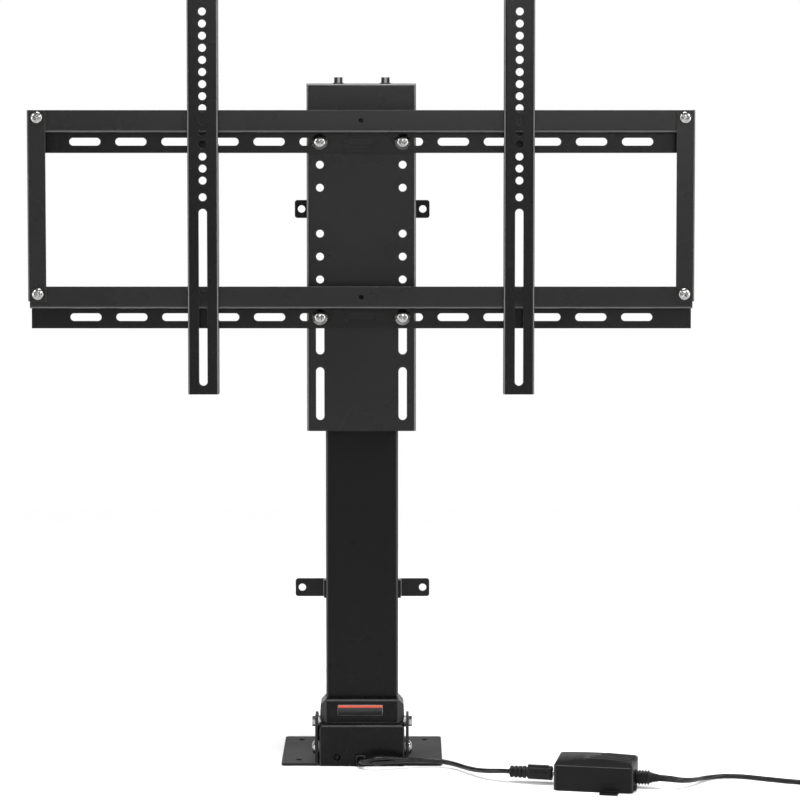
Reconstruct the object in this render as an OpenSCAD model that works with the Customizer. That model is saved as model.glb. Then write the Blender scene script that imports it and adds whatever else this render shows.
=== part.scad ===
// Motorised lift column for a flat screen, in its lowered position.
// Millimetres. +Z is up, -Y is the side that the screen hangs on, and the origin is the
// centre of the base plate's four floor holes, on the plate's underside.

/* [Lift] */
// How far the carriage rises
stroke = 500; // [200:10:520]
// Lead of the screw, one turn's travel
screw_lead = 16; // [8:1:20]
// Teeth on the worm wheel
wheel_teeth = 20; // [18:1:24]

/* [Base plate] */
// Width of the base plate
plate_w = 178; // [160:1:240]
// Depth of the base plate
plate_d = 130; // [126:1:180]
// Thickness of the base plate
plate_t = 3; // [2:0.5:5]
// Corner radius of the base plate
plate_r = 4; // [1:0.5:8]
// Floor hole spacing across
floor_hole_x = 140; // [130:1:148]
// Floor hole spacing front to back
floor_hole_y = 96; // [80:1:108]
// Floor hole diameter
floor_hole_d = 7; // [5:0.5:9]
// Clear width between the side cheeks
cheek_gap = 97.6; // [96:0.2:104]
// Thickness of a side cheek
cheek_t = 3; // [2:0.5:4]
// Top of a cheek above the floor
cheek_h = 54; // [53:1:60]
// Front height of a cheek above the floor
cheek_front_h = 29; // [24:1:40]

/* [Outer column] */
// Width of the outer column
col_w = 80; // [76:1:90]
// Depth of the outer column
col_d = 40; // [38:1:48]
// Wall of the outer column
col_t = 2; // [1.5:0.25:2.5]
// Top of the outer column above the floor
col_top = 738; // [700:1:738]
// Distance of the column's middle behind the origin
col_y = -22; // [-24:0.5:-20]

/* [Inner column] */
// Width of the inner column
inner_w = 64; // [60:1:66]
// Depth of the inner column
inner_d = 30; // [28:1:31]
// Wall of the inner column
inner_t = 2; // [1.5:0.25:2.5]
// Running gap of the glides
glide_gap = 0.4; // [0.3:0.05:0.6]

/* [Wall ears] */
// Hole spacing across
ear_hole_x = 135; // [120:1:150]
// Spacing between the lower and the upper pair
ear_rise = 425; // [300:1:440]
// Height of the lower pair above the floor
ear_z = 188.5; // [120:0.5:200]
// Height of an ear
ear_h = 20; // [18:0.5:26]
// Hole diameter of an ear
ear_hole_d = 8.3; // [6:0.1:9]
// Thickness of an ear
ear_t = 3; // [2:0.5:4]

/* [Head plate] */
// Width of the head plate
head_w = 119; // [112:1:130]
// Height of the head plate
head_h = 379; // [360:1:400]
// Top of the head plate above the floor
head_top = 753; // [750:1:760]
// Thickness of the head plate
head_t = 2; // [1.5:0.25:3]
// Depth of the head plate's side flanges
head_flange = 34; // [20:1:34]
// Hole spacing across
head_hole_x = 90; // [86:1:94]
// Pitch of the hole rows
head_pitch = 25; // [25:1:25]
// Hole diameter of the head plate
head_hole_d = 8.5; // [7:0.1:9.5]

/* [Rails] */
// Length of a rail
rail_l = 718; // [640:2:760]
// Height of a rail
rail_h = 46.7; // [44:0.1:52]
// Height of the slotted strip below the step
rail_strip_h = 22.8; // [22:0.1:25]
// Forward step from the strip to the band
rail_step = 15.5; // [13:0.5:18]
// Thickness of a rail
rail_t = 2; // [1.5:0.25:2.5]
// Distance between the two rails
rail_gap = 191; // [180:1:195]
// Slots in a rail
rail_slots = 13; // [11:2:13]
// Pitch of the rail slots
rail_slot_pitch = 50; // [46:1:52]
// Length of a rail slot
rail_slot_l = 34; // [28:1:36]
// Height of a rail slot
rail_slot_h = 8.5; // [7:0.1:9]
// Face width of an end piece
end_w = 20; // [18:0.5:26]
// Thickness of an end piece
end_t = 1.5; // [1:0.25:2]

/* [Arms] */
// Length of an arm
arm_l = 427; // [420:1:460]
// Width of an arm
arm_w = 33.5; // [30:0.5:40]
// Depth of an arm's flanges
arm_d = 16.5; // [15:0.5:17]
// Thickness of an arm
arm_t = 2; // [1.5:0.25:2]
// Half the distance between the arms
arm_x = 171; // [110:1:280]
// Pitch of the arm's holes
arm_pitch = 13; // [12:0.5:13]
// Round holes in the arm's row
arm_holes = 15; // [10:1:15]
// Hole diameter of an arm
arm_hole_d = 8.5; // [6:0.1:9]
// Length of an arm's slots
arm_slot_l = 93; // [80:1:93]

/* [Covers] */
// Width of the gearbox covers
cover_w = 93.7; // [92:0.1:95]
// Wall of the gearbox covers
cover_t = 2.2; // [1.5:0.1:2.4]
// Top of the low part of the covers
cover_low = 46; // [46:0.5:50]
// Top of the high part of the front cover
cover_high = 72; // [66:0.5:80]

/* [Control box] */
// Length of the control box
box_l = 85; // [80:1:110]
// Depth of the control box
box_d = 57; // [50:1:70]
// Height of the control box at its edges
box_h = 28; // [26:0.5:36]
// Turn of the control box on the floor
box_turn = -10.6; // [-12:0.1:-9]

/* [Cords] */
// Diameter of the motor lead and the mains cord
cord_d = 6; // [6:0.1:6]
// Middle radius of the coil's outermost turn
coil_r = 43; // [40:1:44]
// Turns in each layer of the coil
coil_turns = 2.75; // [1.75:0.5:2.75]

/* [Hidden] */
$fn = 48;

// Planes from front to back
strip_y = -80;                          // front face of the rails' strips
head_y = strip_y + rail_t;              // front face of the head plate
band_y = strip_y - rail_step;           // front face of the rails' bands
arm_gap = 2;                            // behind an arm's web
arm_y = band_y - arm_gap - arm_t;       // front face of the arms
col_front = col_y - col_d / 2;
col_back = col_y + col_d / 2;

// Gearbox and drive
gear_w = 86;
gear_setback = 9;                       // of the gearbox's front behind the base plate's front edge
gear_front = -plate_d / 2 + gear_setback;
gear_screw_in = 6;                      // of the front screws behind the gearbox's front
gear_back = -0.5;
gear_split = 26;                        // height of the worm's axis and of the joint between the halves
gear_top = 43.5;
spigot_top = 66;
bolt_y = -44;
cheek_bolt = [[16, 4, 8], [45.5, 3, 6]];  // height, radius and boss radius of the lower and the upper bolt
bolt_clear = 0.25;
gear_module = 1.75;
wheel_r = gear_module * wheel_teeth / 2;
worm_r = 7;
worm_x = -(wheel_r + worm_r);
worm_pitch = PI * gear_module;
addendum = 1.5;
dedendum = 1.9;
tooth_share = 0.18;                     // half thickness of a tooth or thread over the pitch
flank = tan(20);
wheel_t = 6;
worm_core_r = worm_r - dedendum;
worm_half_l = 12;
shaft_r = 2.5;
shaft_front = -42;
bush_y = [-46, -39];
bush_r = 5;
run = 0.05;                             // radial clearance of a running fit
journal = [[4, 6.1], [5, 14], [6, 38], [7, 49]];  // radius and start height of each step of the lead screw
screw_top = 130 + stroke + 20;
stop_r = 12;
stop_h = 6;
low_bearing = [4, 11, 6, 13];           // bore radius, outside radius, bottom, top
high_bearing = [6, 14, 40, 49];
ring_t = 1.8;
ball_count = 9;

// Carriage
shoe_z = [78, 113];
nut_z = [116, 146];
nut_screw_x = 18;
inner_bottom = shoe_z[0];
inner_top = head_top - head_t;
top_block_h = 10;
top_screw_x = 26;
strip_w = 10;                           // width of the limit switch strip
strip_board_t = 1.2;
switch_t = 4;
switch_h = 20;
bush_skirt = 30;
bush_lip = 4;

// Rails on the head plate
screw_row = head_top - 63;              // height of the upper rail's screws
slot_z = 12.2;                          // middle of the rail's slots above the rail's lower edge
rail_z = [screw_row - slot_z - rail_gap, screw_row - slot_z];
rail_half = rail_l / 2;
slot_w = 9;
head_slot_l = 58;
head_slot_drop = [367, 295];            // of the slots' middles below the head's top
head_slot_z = [for (d = head_slot_drop) head_top - d];
head_rows = [1, 2, 4, 5, 6];            // rows below the screws; the third is left out
corner_drop = 8;                        // of a corner screw below the band's top
corner_x = rail_half - 9;
end_gap = 0.4;
end_flange = 15.5;
screw_m6_r = 3;

// Arms
arm_z = 416.5;
hook_drop = 11;
hook_t = 4;
hook_gap = 0.4;
hook_lift = 13;                         // room to lift the arm off the band
first_hole = 13;
last_hole_gap = 18;
arm_slot_end = 9.5;                     // below the lower slot

// Control box, its place on the floor and what is in it
box_corner = [205.7, -175];             // front left corner
box_wall = 2;
box_seam = 9.4;
box_slope_w = 13;                       // width of the lid's slopes at the front and the back
box_slope_h = 5.1;
box_arch = [2.5, 5];                  // rise of the lid's arch at its ends and in its middle
rib_rise = 0.5;
box_foot = 0.8;
board_t = 1.6;
jack_z = 12;
pin_r = 2.75;
pin_gap = 4.4;                          // visible pin between connector and box
connector_l = 47;
grip_l = 20;
plug_r = 6.9;                           // of the connector's body
relief_l = 26;
relief_block_l = 16;

function unit(v) = v / norm(v);

// Points of an outline: each corner is [x, y, radius], and a corner with a radius becomes an arc
function rounded(c, n = 6) = [for (i = [0 : len(c) - 1])
    let (p = c[i], a = c[(i + len(c) - 1) % len(c)], b = c[(i + 1) % len(c)])
    each p[2] == 0 ? [[p[0], p[1]]] : arc_corner(a, p, b, p[2], n)];

// An outline that is alike on both sides of the middle, from its right half
function mirrored(half) = concat(half,
    [for (i = [len(half) - 1 : -1 : 0]) [-half[i][0], half[i][1], half[i][2]]]);

function arc_corner(a, p, b, r, n) =
    let (u = unit([a[0] - p[0], a[1] - p[1]]), v = unit([b[0] - p[0], b[1] - p[1]]),
         half = acos(u * v) / 2, far = r / tan(half), c = [p[0], p[1]] + unit(u + v) * (r / sin(half)),
         s = [p[0], p[1]] + u * far - c, e = [p[0], p[1]] + v * far - c,
         start = atan2(s[1], s[0]), turn = (atan2(e[1], e[0]) - start + 540) % 360 - 180)
    [for (k = [0 : n]) c + r * [cos(start + turn * k / n), sin(start + turn * k / n)]];

// A tube along points: rings of `sides` corners, turned so that they don't twist
function sweep_frames(p) = [for (i = [0 : len(p) - 1])
    let (t = unit(p[min(i + 1, len(p) - 1)] - p[max(i - 1, 0)]), side = unit(cross(t, [0, 0, 1])),
         up = cross(side, t))
    [side, up]];

module tube(points, d, sides) {
    frames = sweep_frames(points);
    n = len(points);
    ring = [for (k = [0 : sides - 1]) let (a = (k + 0.5) * 360 / sides) d / 2 * [cos(a), sin(a)]
        / (sides % 4 == 0 ? cos(180 / sides) : 1)];
    verts = [for (i = [0 : n - 1]) each [for (q = ring)
        points[i] + frames[i][0] * q[0] + frames[i][1] * q[1]]];
    walls = [for (i = [0 : n - 2], k = [0 : sides - 1])
        let (a = i * sides + k, b = i * sides + (k + 1) % sides)
        each [[a, b, a + sides], [b, b + sides, a + sides]]];
    polyhedron(verts, concat(walls,
        [for (k = [1 : sides - 2]) [0, k + 1, k]],
        [for (k = [1 : sides - 2]) let (o = (n - 1) * sides) [o, o + k, o + k + 1]]), convexity = 10);
}

// Smooth curve through hand-chosen points, `per` steps from each to the next
function curve(p, per) = [for (i = [0 : len(p) - 2], k = [0 : per - 1])
    let (a = p[max(i - 1, 0)], b = p[i], c = p[i + 1], d = p[min(i + 2, len(p) - 1)], t = k / per)
    0.5 * (2 * b + (c - a) * t + (2 * a - 5 * b + 4 * c - d) * t * t + (3 * b - a - 3 * c + d) * t * t * t),
    p[len(p) - 1]];

// Extrudes an outline along X, with its own x as Y and its own y as Z
module along_x(a, b) translate([a, 0, 0]) rotate([90, 0, 90]) linear_extrude(b - a) children();
// Extrudes an outline along Y, with its own x as X and its own y as Z
module along_y(a, b) translate([0, b, 0]) rotate([90, 0, 0]) linear_extrude(b - a) children();
module along_z(a, b) translate([0, 0, a]) linear_extrude(b - a) children();

module rod_x(y, z, a, b, r) translate([a, y, z]) rotate([0, 90, 0]) cylinder(r = r, h = b - a);
module rod_y(x, z, a, b, r) translate([x, b, z]) rotate([90, 0, 0]) cylinder(r = r, h = b - a);
module rod_z(x, y, a, b, r) translate([x, y, a]) cylinder(r = r, h = b - a);

module round_rect(w, d, r) {
    square([w - 2 * r, d], center = true);
    square([w, d - 2 * r], center = true);
    for (sx = [-1, 1], sy = [-1, 1])
        translate([sx * (w / 2 - r), sy * (d / 2 - r)]) circle(r);
}

module slot(l, w) {
    square([l - w, w], center = true);
    for (s = [-1, 1]) translate([s * (l - w) / 2, 0]) circle(d = w);
}

// Dome-headed cross-recess screw pointing along -Z, with its head's seat at the origin
module pan_screw(head_r, head_h, shank_r, shank_l) {
    difference() {
        rotate_extrude() polygon(concat([[0, -shank_l], [shank_r, -shank_l], [shank_r, 0], [head_r, 0]],
            [for (k = [0 : 6]) [head_r * cos(k * 15), head_h * (0.35 + 0.65 * sin(k * 15))]]));
        for (a = [45, 135]) rotate(a) translate([-head_r * 0.5, -0.5, head_h * 0.45])
            cube([head_r, 1, head_h]);
    }
}

module hex_head(across, h) cylinder(r = across / sqrt(3), h = h, $fn = 6);

module ring(r_in, r_out, h) difference() {
    cylinder(r = r_out, h = h);
    translate([0, 0, -1]) cylinder(r = r_in, h = h + 2);
}

// Base plate with its two welded cheeks
cheek_outline = [[-plate_d / 2, plate_t - 1, 0], [-plate_d / 2, cheek_front_h, 4], [-54, cheek_h, 5],
    [-32, cheek_h, 8], [plate_d / 2 - 7, 14, 4], [plate_d / 2 - 7, plate_t - 1, 0]];

module base_plate() color("dimgray") difference() {
    union() {
        along_z(0, plate_t) round_rect(plate_w, plate_d, plate_r);
        for (s = [-1, 1]) along_x(s > 0 ? cheek_gap / 2 : -cheek_gap / 2 - cheek_t,
            s > 0 ? cheek_gap / 2 + cheek_t : -cheek_gap / 2) polygon(rounded(cheek_outline));
    }
    for (sx = [-1, 1], sy = [-1, 1]) rod_z(sx * floor_hole_x / 2, sy * floor_hole_y / 2, -1, plate_t + 1,
        floor_hole_d / 2);
    for (s = [-1, 1], b = cheek_bolt) rod_x(bolt_y, b[0], s * cheek_gap / 2 - cheek_t - 1,
        s * cheek_gap / 2 + cheek_t + 1, b[1] + bolt_clear);
    for (s = [-1, 1]) translate([s * cover_post_x, cover_post_y, 0]) {
        translate([0, 0, -1]) cylinder(r = 2.2, h = plate_t + 2);
        translate([0, 0, -0.01]) cylinder(r1 = 4.2, r2 = 2.2, h = 2.2);
    }
}

dome_r = 7.5;
dome_h = 4;
bolt_head_h = 3.6;
bolt_l = 11.5;
module cheek_bolts() color("silver") for (s = [-1, 1]) mirror([s < 0 ? 1 : 0, 0, 0]) {
    face = cheek_gap / 2 + cheek_t;
    translate([face, bolt_y, cheek_bolt[0][0]]) rotate([0, 90, 0]) difference() {
        rotate_extrude() polygon(concat([[0, 0], [dome_r, 0]],
            [for (k = [0 : 6]) [dome_r * cos(k * 15), dome_h * (0.2 + 0.8 * sin(k * 15))]]));
        translate([0, 0, 1.6]) hex_head(5, dome_h);
    }
    translate([face, bolt_y, cheek_bolt[1][0]]) rotate([0, 90, 0]) hex_head(10, bolt_head_h);
    for (b = cheek_bolt) rod_x(bolt_y, b[0], face - bolt_l, face + 1, b[1]);
}

// Gearbox halves, joined at the height of the worm's axis
module gearbox_block(a, b) along_z(a, b) translate([0, (gear_front + gear_back) / 2])
    round_rect(gear_w, gear_back - gear_front, 4);

module gearbox_bosses(b) for (s = [-1, 1]) mirror([s < 0 ? 1 : 0, 0, 0])
    rod_x(bolt_y, b[0], gear_w / 2 - 3, cheek_gap / 2, b[2]);

module bolt_bores() for (s = [-1, 1], b = cheek_bolt) mirror([s < 0 ? 1 : 0, 0, 0])
    rod_x(bolt_y, b[0], cheek_gap / 2 + cheek_t - bolt_l - 1, cheek_gap / 2 + 1, b[1] + 0.02);

gear_screw_at = [[-36.5, gear_front + gear_screw_in], [36.5, gear_front + gear_screw_in],
    [-38.6, -14], [38, -8]];
wheel_z = gear_split - wheel_t / 2;
module gearbox_cavity() {
    translate([0, col_y, 0]) {
        rod_z(0, 0, 14, 38, 11);
        rod_z(0, 0, wheel_z - 1, wheel_z + wheel_t + 1, wheel_r + addendum + 1);
        rod_z(0, 0, low_bearing[2], low_bearing[3] + 2, low_bearing[1]);
        rod_z(0, 0, 37, high_bearing[2] + 0.01, 9);
        rod_z(0, 0, high_bearing[2], high_bearing[3], high_bearing[1]);
        rod_z(0, 0, high_bearing[3] - 0.01, spigot_top + 1, high_bearing[1]);
    }
    rod_y(worm_x, gear_split, bush_y[1], gear_back - 6, worm_r + addendum + 1);
    rod_y(worm_x, gear_split, bush_y[0], bush_y[1] + 0.01, bush_r);
    rod_y(worm_x, gear_split, gear_back - 7, gear_back + 1, shaft_r + 1.5);
}

module gearbox_lower() color("gainsboro") difference() {
    union() {
        gearbox_block(plate_t, gear_split);
        gearbox_bosses(cheek_bolt[0]);
    }
    gearbox_cavity();
    bolt_bores();
    for (p = gear_screw_at) {
        rod_z(p[0], p[1], plate_t - 1, plate_t + 6, 4.2);
        rod_z(p[0], p[1], plate_t, gear_split + 1, 2.7);
    }
    for (s = [-1, 1]) rod_y(s * cover_screw_x, cover_screw_z, gear_front - 1, gear_front + 12, 1.62);
    for (sx = [-1, 1])
        rod_y(worm_x + sx * flange_hole, gear_split - flange_hole, gear_back - 9, gear_back + 1, 1.52);
}

upper_boss_top = cheek_bolt[1][0] + cheek_bolt[1][2];
module gearbox_upper() color("gainsboro") difference() {
    union() {
        gearbox_block(gear_split, gear_top);
        difference() {
            gearbox_bosses(cheek_bolt[1]);
            translate([-col_w / 2 - 0.3, col_front - 0.3, gear_top]) cube([col_w + 0.6, col_d, 30]);
        }
        along_z(gear_top - 1, spigot_top) translate([0, col_y])
            round_rect(col_w - 2 * col_t - 0.4, col_d - 2 * col_t - 0.4, 2);
        for (s = [-1, 1]) translate([s * 37.5 - 5, gear_front + 7, gear_top - 1])
            cube([10, col_front - gear_front - 7.3, upper_boss_top - gear_top + 1]);
    }
    gearbox_cavity();
    bolt_bores();
    for (p = gear_screw_at) rod_z(p[0], p[1], gear_split - 1, gear_split + 11, 2.52);
    for (s = [-1, 1])
        rod_y(s * column_screw_x, column_screw_z, col_front, col_back, 2.02);
    for (sx = [-1, 1])
        rod_y(worm_x + sx * flange_hole, gear_split + flange_hole, gear_back - 9, gear_back + 1, 1.52);
}

module gearbox_screws() color("silver") for (p = gear_screw_at)
    translate([p[0], p[1], plate_t + 6]) mirror([0, 0, 1]) pan_screw(4, 3, 2.5, 26);

// Two ball bearings of the lead screw
module bearing_outer(b) translate([0, col_y, b[2]]) difference() {
    ring(b[1] - ring_t, b[1], b[3] - b[2]);
    groove(b);
}
module bearing_inner(b) translate([0, col_y, b[2]]) difference() {
    ring(b[0], b[0] + ring_t, b[3] - b[2]);
    groove(b);
}
function ball_r(b) = (b[1] - b[0]) / 2 - ring_t + 0.7;
module groove(b) rotate_extrude() translate([(b[0] + b[1]) / 2, (b[3] - b[2]) / 2]) circle(ball_r(b) + 0.06);
module bearing_outer_rings() color("silver") for (b = [low_bearing, high_bearing]) bearing_outer(b);
module bearing_inner_rings() color("silver") for (b = [low_bearing, high_bearing]) bearing_inner(b);
module bearing_balls() color("silver") for (b = [low_bearing, high_bearing], k = [0 : ball_count - 1])
    translate([0, col_y, (b[2] + b[3]) / 2]) rotate(k * 360 / ball_count)
        translate([(b[0] + b[1]) / 2, 0, 0]) sphere(ball_r(b), $fn = 24);

module worm_bush() color("goldenrod") translate([worm_x, bush_y[1], gear_split]) rotate([90, 0, 0])
    ring(shaft_r + run, bush_r, bush_y[1] - bush_y[0]);

// Outer column on the gearbox's spigot
column_screw_x = 26;
column_screw_z = 56;
module column_section(w, d, t) difference() {
    round_rect(w, d, t + 2);
    round_rect(w - 2 * t, d - 2 * t, 2);
}
module outer_column() color("#262626") difference() {
    along_z(gear_top, col_top) translate([0, col_y]) column_section(col_w, col_d, col_t);
    for (s = [-1, 1]) rod_y(s * column_screw_x, column_screw_z, col_front - 1, col_back + 1, 2.3);
}
module column_screws() color("silver") for (s = [-1, 1], sy = [-1, 1])
    translate([s * column_screw_x, sy > 0 ? col_back : col_front, column_screw_z])
        rotate([sy > 0 ? -90 : 90, 0, 0]) pan_screw(3.8, 2.2, 2, 10);

// Ear: a short leg on the column's side and a long one with the hole
ear_leg = 14;
module wall_ears() color("#2b2b2b") for (s = [-1, 1], z = [ear_z, ear_z + ear_rise])
    mirror([s < 0 ? 1 : 0, 0, 0]) difference() {
        union() {
            along_z(z - ear_h / 2, z + ear_h / 2) polygon(rounded([
                [col_w / 2, col_back - ear_leg, 0], [col_w / 2 + ear_t, col_back - ear_leg, 0],
                [col_w / 2 + ear_t, col_back - ear_t, 1.5], [ear_hole_x / 2, col_back - ear_t, 0],
                [ear_hole_x / 2, col_back, 0], [col_w / 2, col_back, 1.5 + ear_t]]));
            along_y(col_back - ear_t, col_back) translate([ear_hole_x / 2 - 2.5, z])
                round_rect(20, ear_h, 3);
        }
        rod_y(ear_hole_x / 2, z, col_back - ear_t - 1, col_back + 1, ear_hole_d / 2);
    }

// Guide bush in the mouth of the outer column
module guide_bush() color("#1c1c1c") difference() {
    union() {
        along_z(col_top, col_top + bush_lip) translate([0, col_y]) round_rect(col_w, col_d, col_t + 2);
        along_z(col_top - bush_skirt, col_top) translate([0, col_y])
            round_rect(col_w - 2 * col_t, col_d - 2 * col_t, 2);
    }
    along_z(col_top - bush_skirt - 1, col_top + bush_lip + 1) translate([0, col_y])
        round_rect(inner_w + 2 * glide_gap, inner_d + 2 * glide_gap, 3.2);
}

// Stepped front cover and low rear cover, split behind the column's middle
cover_front = -plate_d / 2 - 2.4;
cover_step = 13;
cover_facet = [8, 5];                   // width and depth of the upper part's front corners
cover_hip = [7, 6.5];                   // width and height of its slanted shoulders
cover_split = -19;
cover_back = plate_d / 2 - 3;
cover_screw_x = 27.5;
cover_screw_z = 10;
cover_post_x = 40;
cover_post_y = 55.5;
notch_x = -1.5;
notch_w = 11;
notch_h = 13;

module front_cover_body(in) {
    intersection() {
        along_x(-cover_w, cover_w) polygon(rounded([
            [cover_front + in, -in, 0], [cover_front + in, cover_low - in, 3.2],
            [cover_front + cover_step + in, cover_low - in, 1.5],
            [cover_front + cover_step + in, cover_high - in, 3.4],
            [cover_split + 1, cover_high - in, 0], [cover_split + 1, -in, 0]]));
        union() {
            along_y(cover_front - 1, cover_split + 2) polygon(rounded([
                [-cover_w / 2 + in, -in, 0], [-cover_w / 2 + in, cover_low - in, 5 - 1.5 * in],
                [cover_w / 2 - in, cover_low - in, 5 - 1.5 * in], [cover_w / 2 - in, -in, 0]]));
            along_y(cover_front + cover_step + in - 1, cover_split + 2) polygon(rounded(mirrored([
                [cover_w / 2 - cover_hip[0] - 0.4 * in, cover_high - in, 2],
                [cover_w / 2 - 0.8 - in, cover_high - cover_hip[1] - 0.4 * in, 2.5],
                [cover_w / 2 - in, cover_low, 0], [cover_w / 2 - in, 0, 0]])));
        }
        union() {
            along_z(-2, cover_low) polygon(rounded([
                [-cover_w / 2 + in, cover_front + in, 2], [-cover_w / 2 + in, cover_split + 1, 0],
                [cover_w / 2 - in, cover_split + 1, 0], [cover_w / 2 - in, cover_front + in, 2]]));
            along_z(cover_low - 1, cover_high + 1) polygon(rounded(mirrored([
                [cover_w / 2 - cover_facet[0] - 0.4 * in, cover_front + cover_step + in, 2.5],
                [cover_w / 2 - in, cover_front + cover_step + cover_facet[1] + 0.4 * in, 2.5],
                [cover_w / 2 - in, cover_split + 1, 0]])));
        }
    }
}

module front_cover() color("#202020") difference() {
    union() {
        difference() {
            front_cover_body(0);
            front_cover_body(cover_t);
        }
        for (s = [-1, 1]) rod_y(s * cover_screw_x, cover_screw_z, cover_front + 1, gear_front, 5.2);
        for (s = [-1, 1])
            translate([s * (col_w / 2 + 2.5) - 2.3, cover_split - cover_t, upper_boss_top + 1])
                cube([4.6, cover_t, cover_high - upper_boss_top - 6.5]);
    }
    translate([-cover_w, cover_split, -5]) cube([2 * cover_w, 10, cover_high + 10]);
    translate([-cover_w, cover_front - 5, -5]) cube([2 * cover_w, cover_d_total, 5.5]);
    translate([-cover_w, -plate_d / 2 - 0.2, -5]) cube([2 * cover_w, cover_d_total, 5 + plate_t + 0.1]);
    along_z(cover_low, cover_high + 1) translate([0, col_y])
        round_rect(col_w + 0.4, col_d + 0.4, col_t + 2.2);
    for (s = [-1, 1], b = cheek_bolt) mirror([s < 0 ? 1 : 0, 0, 0]) {
        rod_x(bolt_y, b[0], col_w / 2 + 0.2, cover_w / 2 + 1, b[2] + 0.4);
        translate([cover_w / 2 - cover_t - 1, bolt_y, b[0] - b[2] - 0.4])
            cube([cover_t + 2, cover_split - bolt_y + 1, 2 * b[2] + 0.8]);
    }
    for (s = [-1, 1]) {
        rod_y(s * cover_screw_x, cover_screw_z, cover_front - 1, gear_front - 1.5, 3.8);
        rod_y(s * cover_screw_x, cover_screw_z, gear_front - 2, gear_front + 1, 1.7);
    }
    translate([notch_x - notch_w / 2, cover_front - 1, -1]) cube([notch_w, cover_t + 2, notch_h + 1]);
}
cover_d_total = 60;

module rear_cover() color("#202020") difference() {
    union() {
        difference() {
            rear_cover_body(0);
            rear_cover_body(cover_t);
        }
        for (s = [-1, 1]) rod_z(s * cover_post_x, cover_post_y, plate_t + 0.1, cover_low - 1, 4);
    }
    translate([-col_w / 2 - 0.3, cover_split - 1, cover_low - 10])
        cube([col_w + 0.6, col_back - cover_split + 1.3, 20]);
    for (s = [-1, 1]) rod_z(s * cover_post_x, cover_post_y, plate_t - 1, plate_t + 15, 1.62);
}

module rear_cover_body(in) intersection() {
    along_x(-cover_w, cover_w) polygon(rounded([
        [cover_split + 0.2 - in * 2, plate_t + 0.1 - in, 0], [cover_split + 0.2 - in * 2, cover_low - in, 0],
        [cover_back - in, cover_low - in, 4], [cover_back - in, plate_t + 0.1 - in, 0]]));
    along_y(cover_split - 9, cover_back + 1) polygon(rounded([
        [-cover_w / 2 + in, 0, 0], [-cover_w / 2 + in, cover_low - in, 5 - 1.5 * in],
        [cover_w / 2 - in, cover_low - in, 5 - 1.5 * in], [cover_w / 2 - in, 0, 0]]));
    along_z(-1, cover_low + 1) polygon(rounded([
        [-cover_w / 2 + in, cover_split - 9, 0], [-cover_w / 2 + in, cover_back - in, 4],
        [cover_w / 2 - in, cover_back - in, 4], [cover_w / 2 - in, cover_split - 9, 0]]));
}

module cover_screws() color("#303030") {
    for (s = [-1, 1]) translate([s * cover_screw_x, gear_front - 1.5, cover_screw_z]) rotate([90, 0, 0])
        pan_screw(3.4, 2.2, 1.6, 10);
    for (s = [-1, 1]) translate([s * cover_post_x, cover_post_y, 0]) rotate_extrude()
        polygon([[0, 0.2], [4, 0.2], [2, 2.2], [1.6, 2.4], [1.6, 14], [0, 14]]);
}

// Bare label plate on the cover's upper front
module blank_label() color("#3a3a3a") along_y(cover_front + cover_step - 0.3, cover_front + cover_step)
    translate([-2, 60]) round_rect(50, 12, 1);

// Motor behind the column, with its axis in line with the worm
motor_r = 17;
motor_y = [gear_back + 3, 46];
flange_hole = 14.5;
module motor_flange() color("silver") difference() {
    along_y(gear_back, motor_y[0]) translate([worm_x, gear_split]) round_rect(35, 35, 4);
    rod_y(worm_x, gear_split, gear_back - 1, motor_y[0] + 1, 6);
    for (sx = [-1, 1], sz = [-1, 1]) rod_y(worm_x + sx * flange_hole, gear_split + sz * flange_hole,
        gear_back - 1, motor_y[0] + 1, 1.7);
}
module motor_screws() color("silver") for (sx = [-1, 1], sz = [-1, 1])
    translate([worm_x + sx * flange_hole, motor_y[0], gear_split + sz * flange_hole]) rotate([-90, 0, 0])
        pan_screw(2.6, 1.8, 1.5, 10);
module motor_can() color("#8f8f8f") difference() {
    rod_y(worm_x, gear_split, motor_y[0], motor_y[1], motor_r);
    rod_y(worm_x, gear_split, motor_y[0] + 1.5, motor_y[1] + 1, motor_r - 1.5);
    rod_y(worm_x, gear_split, motor_y[0] - 1, motor_y[0] + 2, 6);
}
module motor_end_cap() color("#222222") difference() {
    union() {
        rod_y(worm_x, gear_split, motor_y[1], motor_y[1] + 4, motor_r);
        rod_y(worm_x, gear_split, motor_y[1] - 4, motor_y[1], motor_r - 1.5);
        for (s = [-1, 1]) translate([worm_x - 2.5, motor_y[1] - 10, gear_split + s * 8.6 - 3.4])
            cube([5, 8, 6.8]);
    }
    rod_y(worm_x, gear_split, motor_y[1] - 5, motor_y[1] + 5, shaft_r + run);
}
module motor_magnets() color("#4a4a4a") difference() {
    rod_y(worm_x, gear_split, motor_y[0] + 4, motor_y[0] + 30, motor_r - 1.5);
    rod_y(worm_x, gear_split, motor_y[0] + 3, motor_y[0] + 31, motor_r - 5);
    for (s = [-1, 1]) translate([worm_x - 30, motor_y[0], gear_split + s * 14 - 6])
        cube([60, 50, 12]);
}

// Limit switches on a strip in the gap beside the inner column
strip_x = col_w / 2 - col_t;
switch_z = [shoe_z[0] + 6, shoe_z[0] + stroke + 12];
module limit_strip() color("darkgreen") translate([strip_x - strip_board_t, col_y - strip_w / 2, 0])
    along_z(spigot_top + 2, switch_z[1] + switch_h + 8) square([strip_board_t, strip_w]);
module limit_switches() color("#111111") for (z = switch_z)
    translate([strip_x - strip_board_t - switch_t, col_y - strip_w / 2, z])
        cube([switch_t, strip_w, switch_h]);

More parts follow.
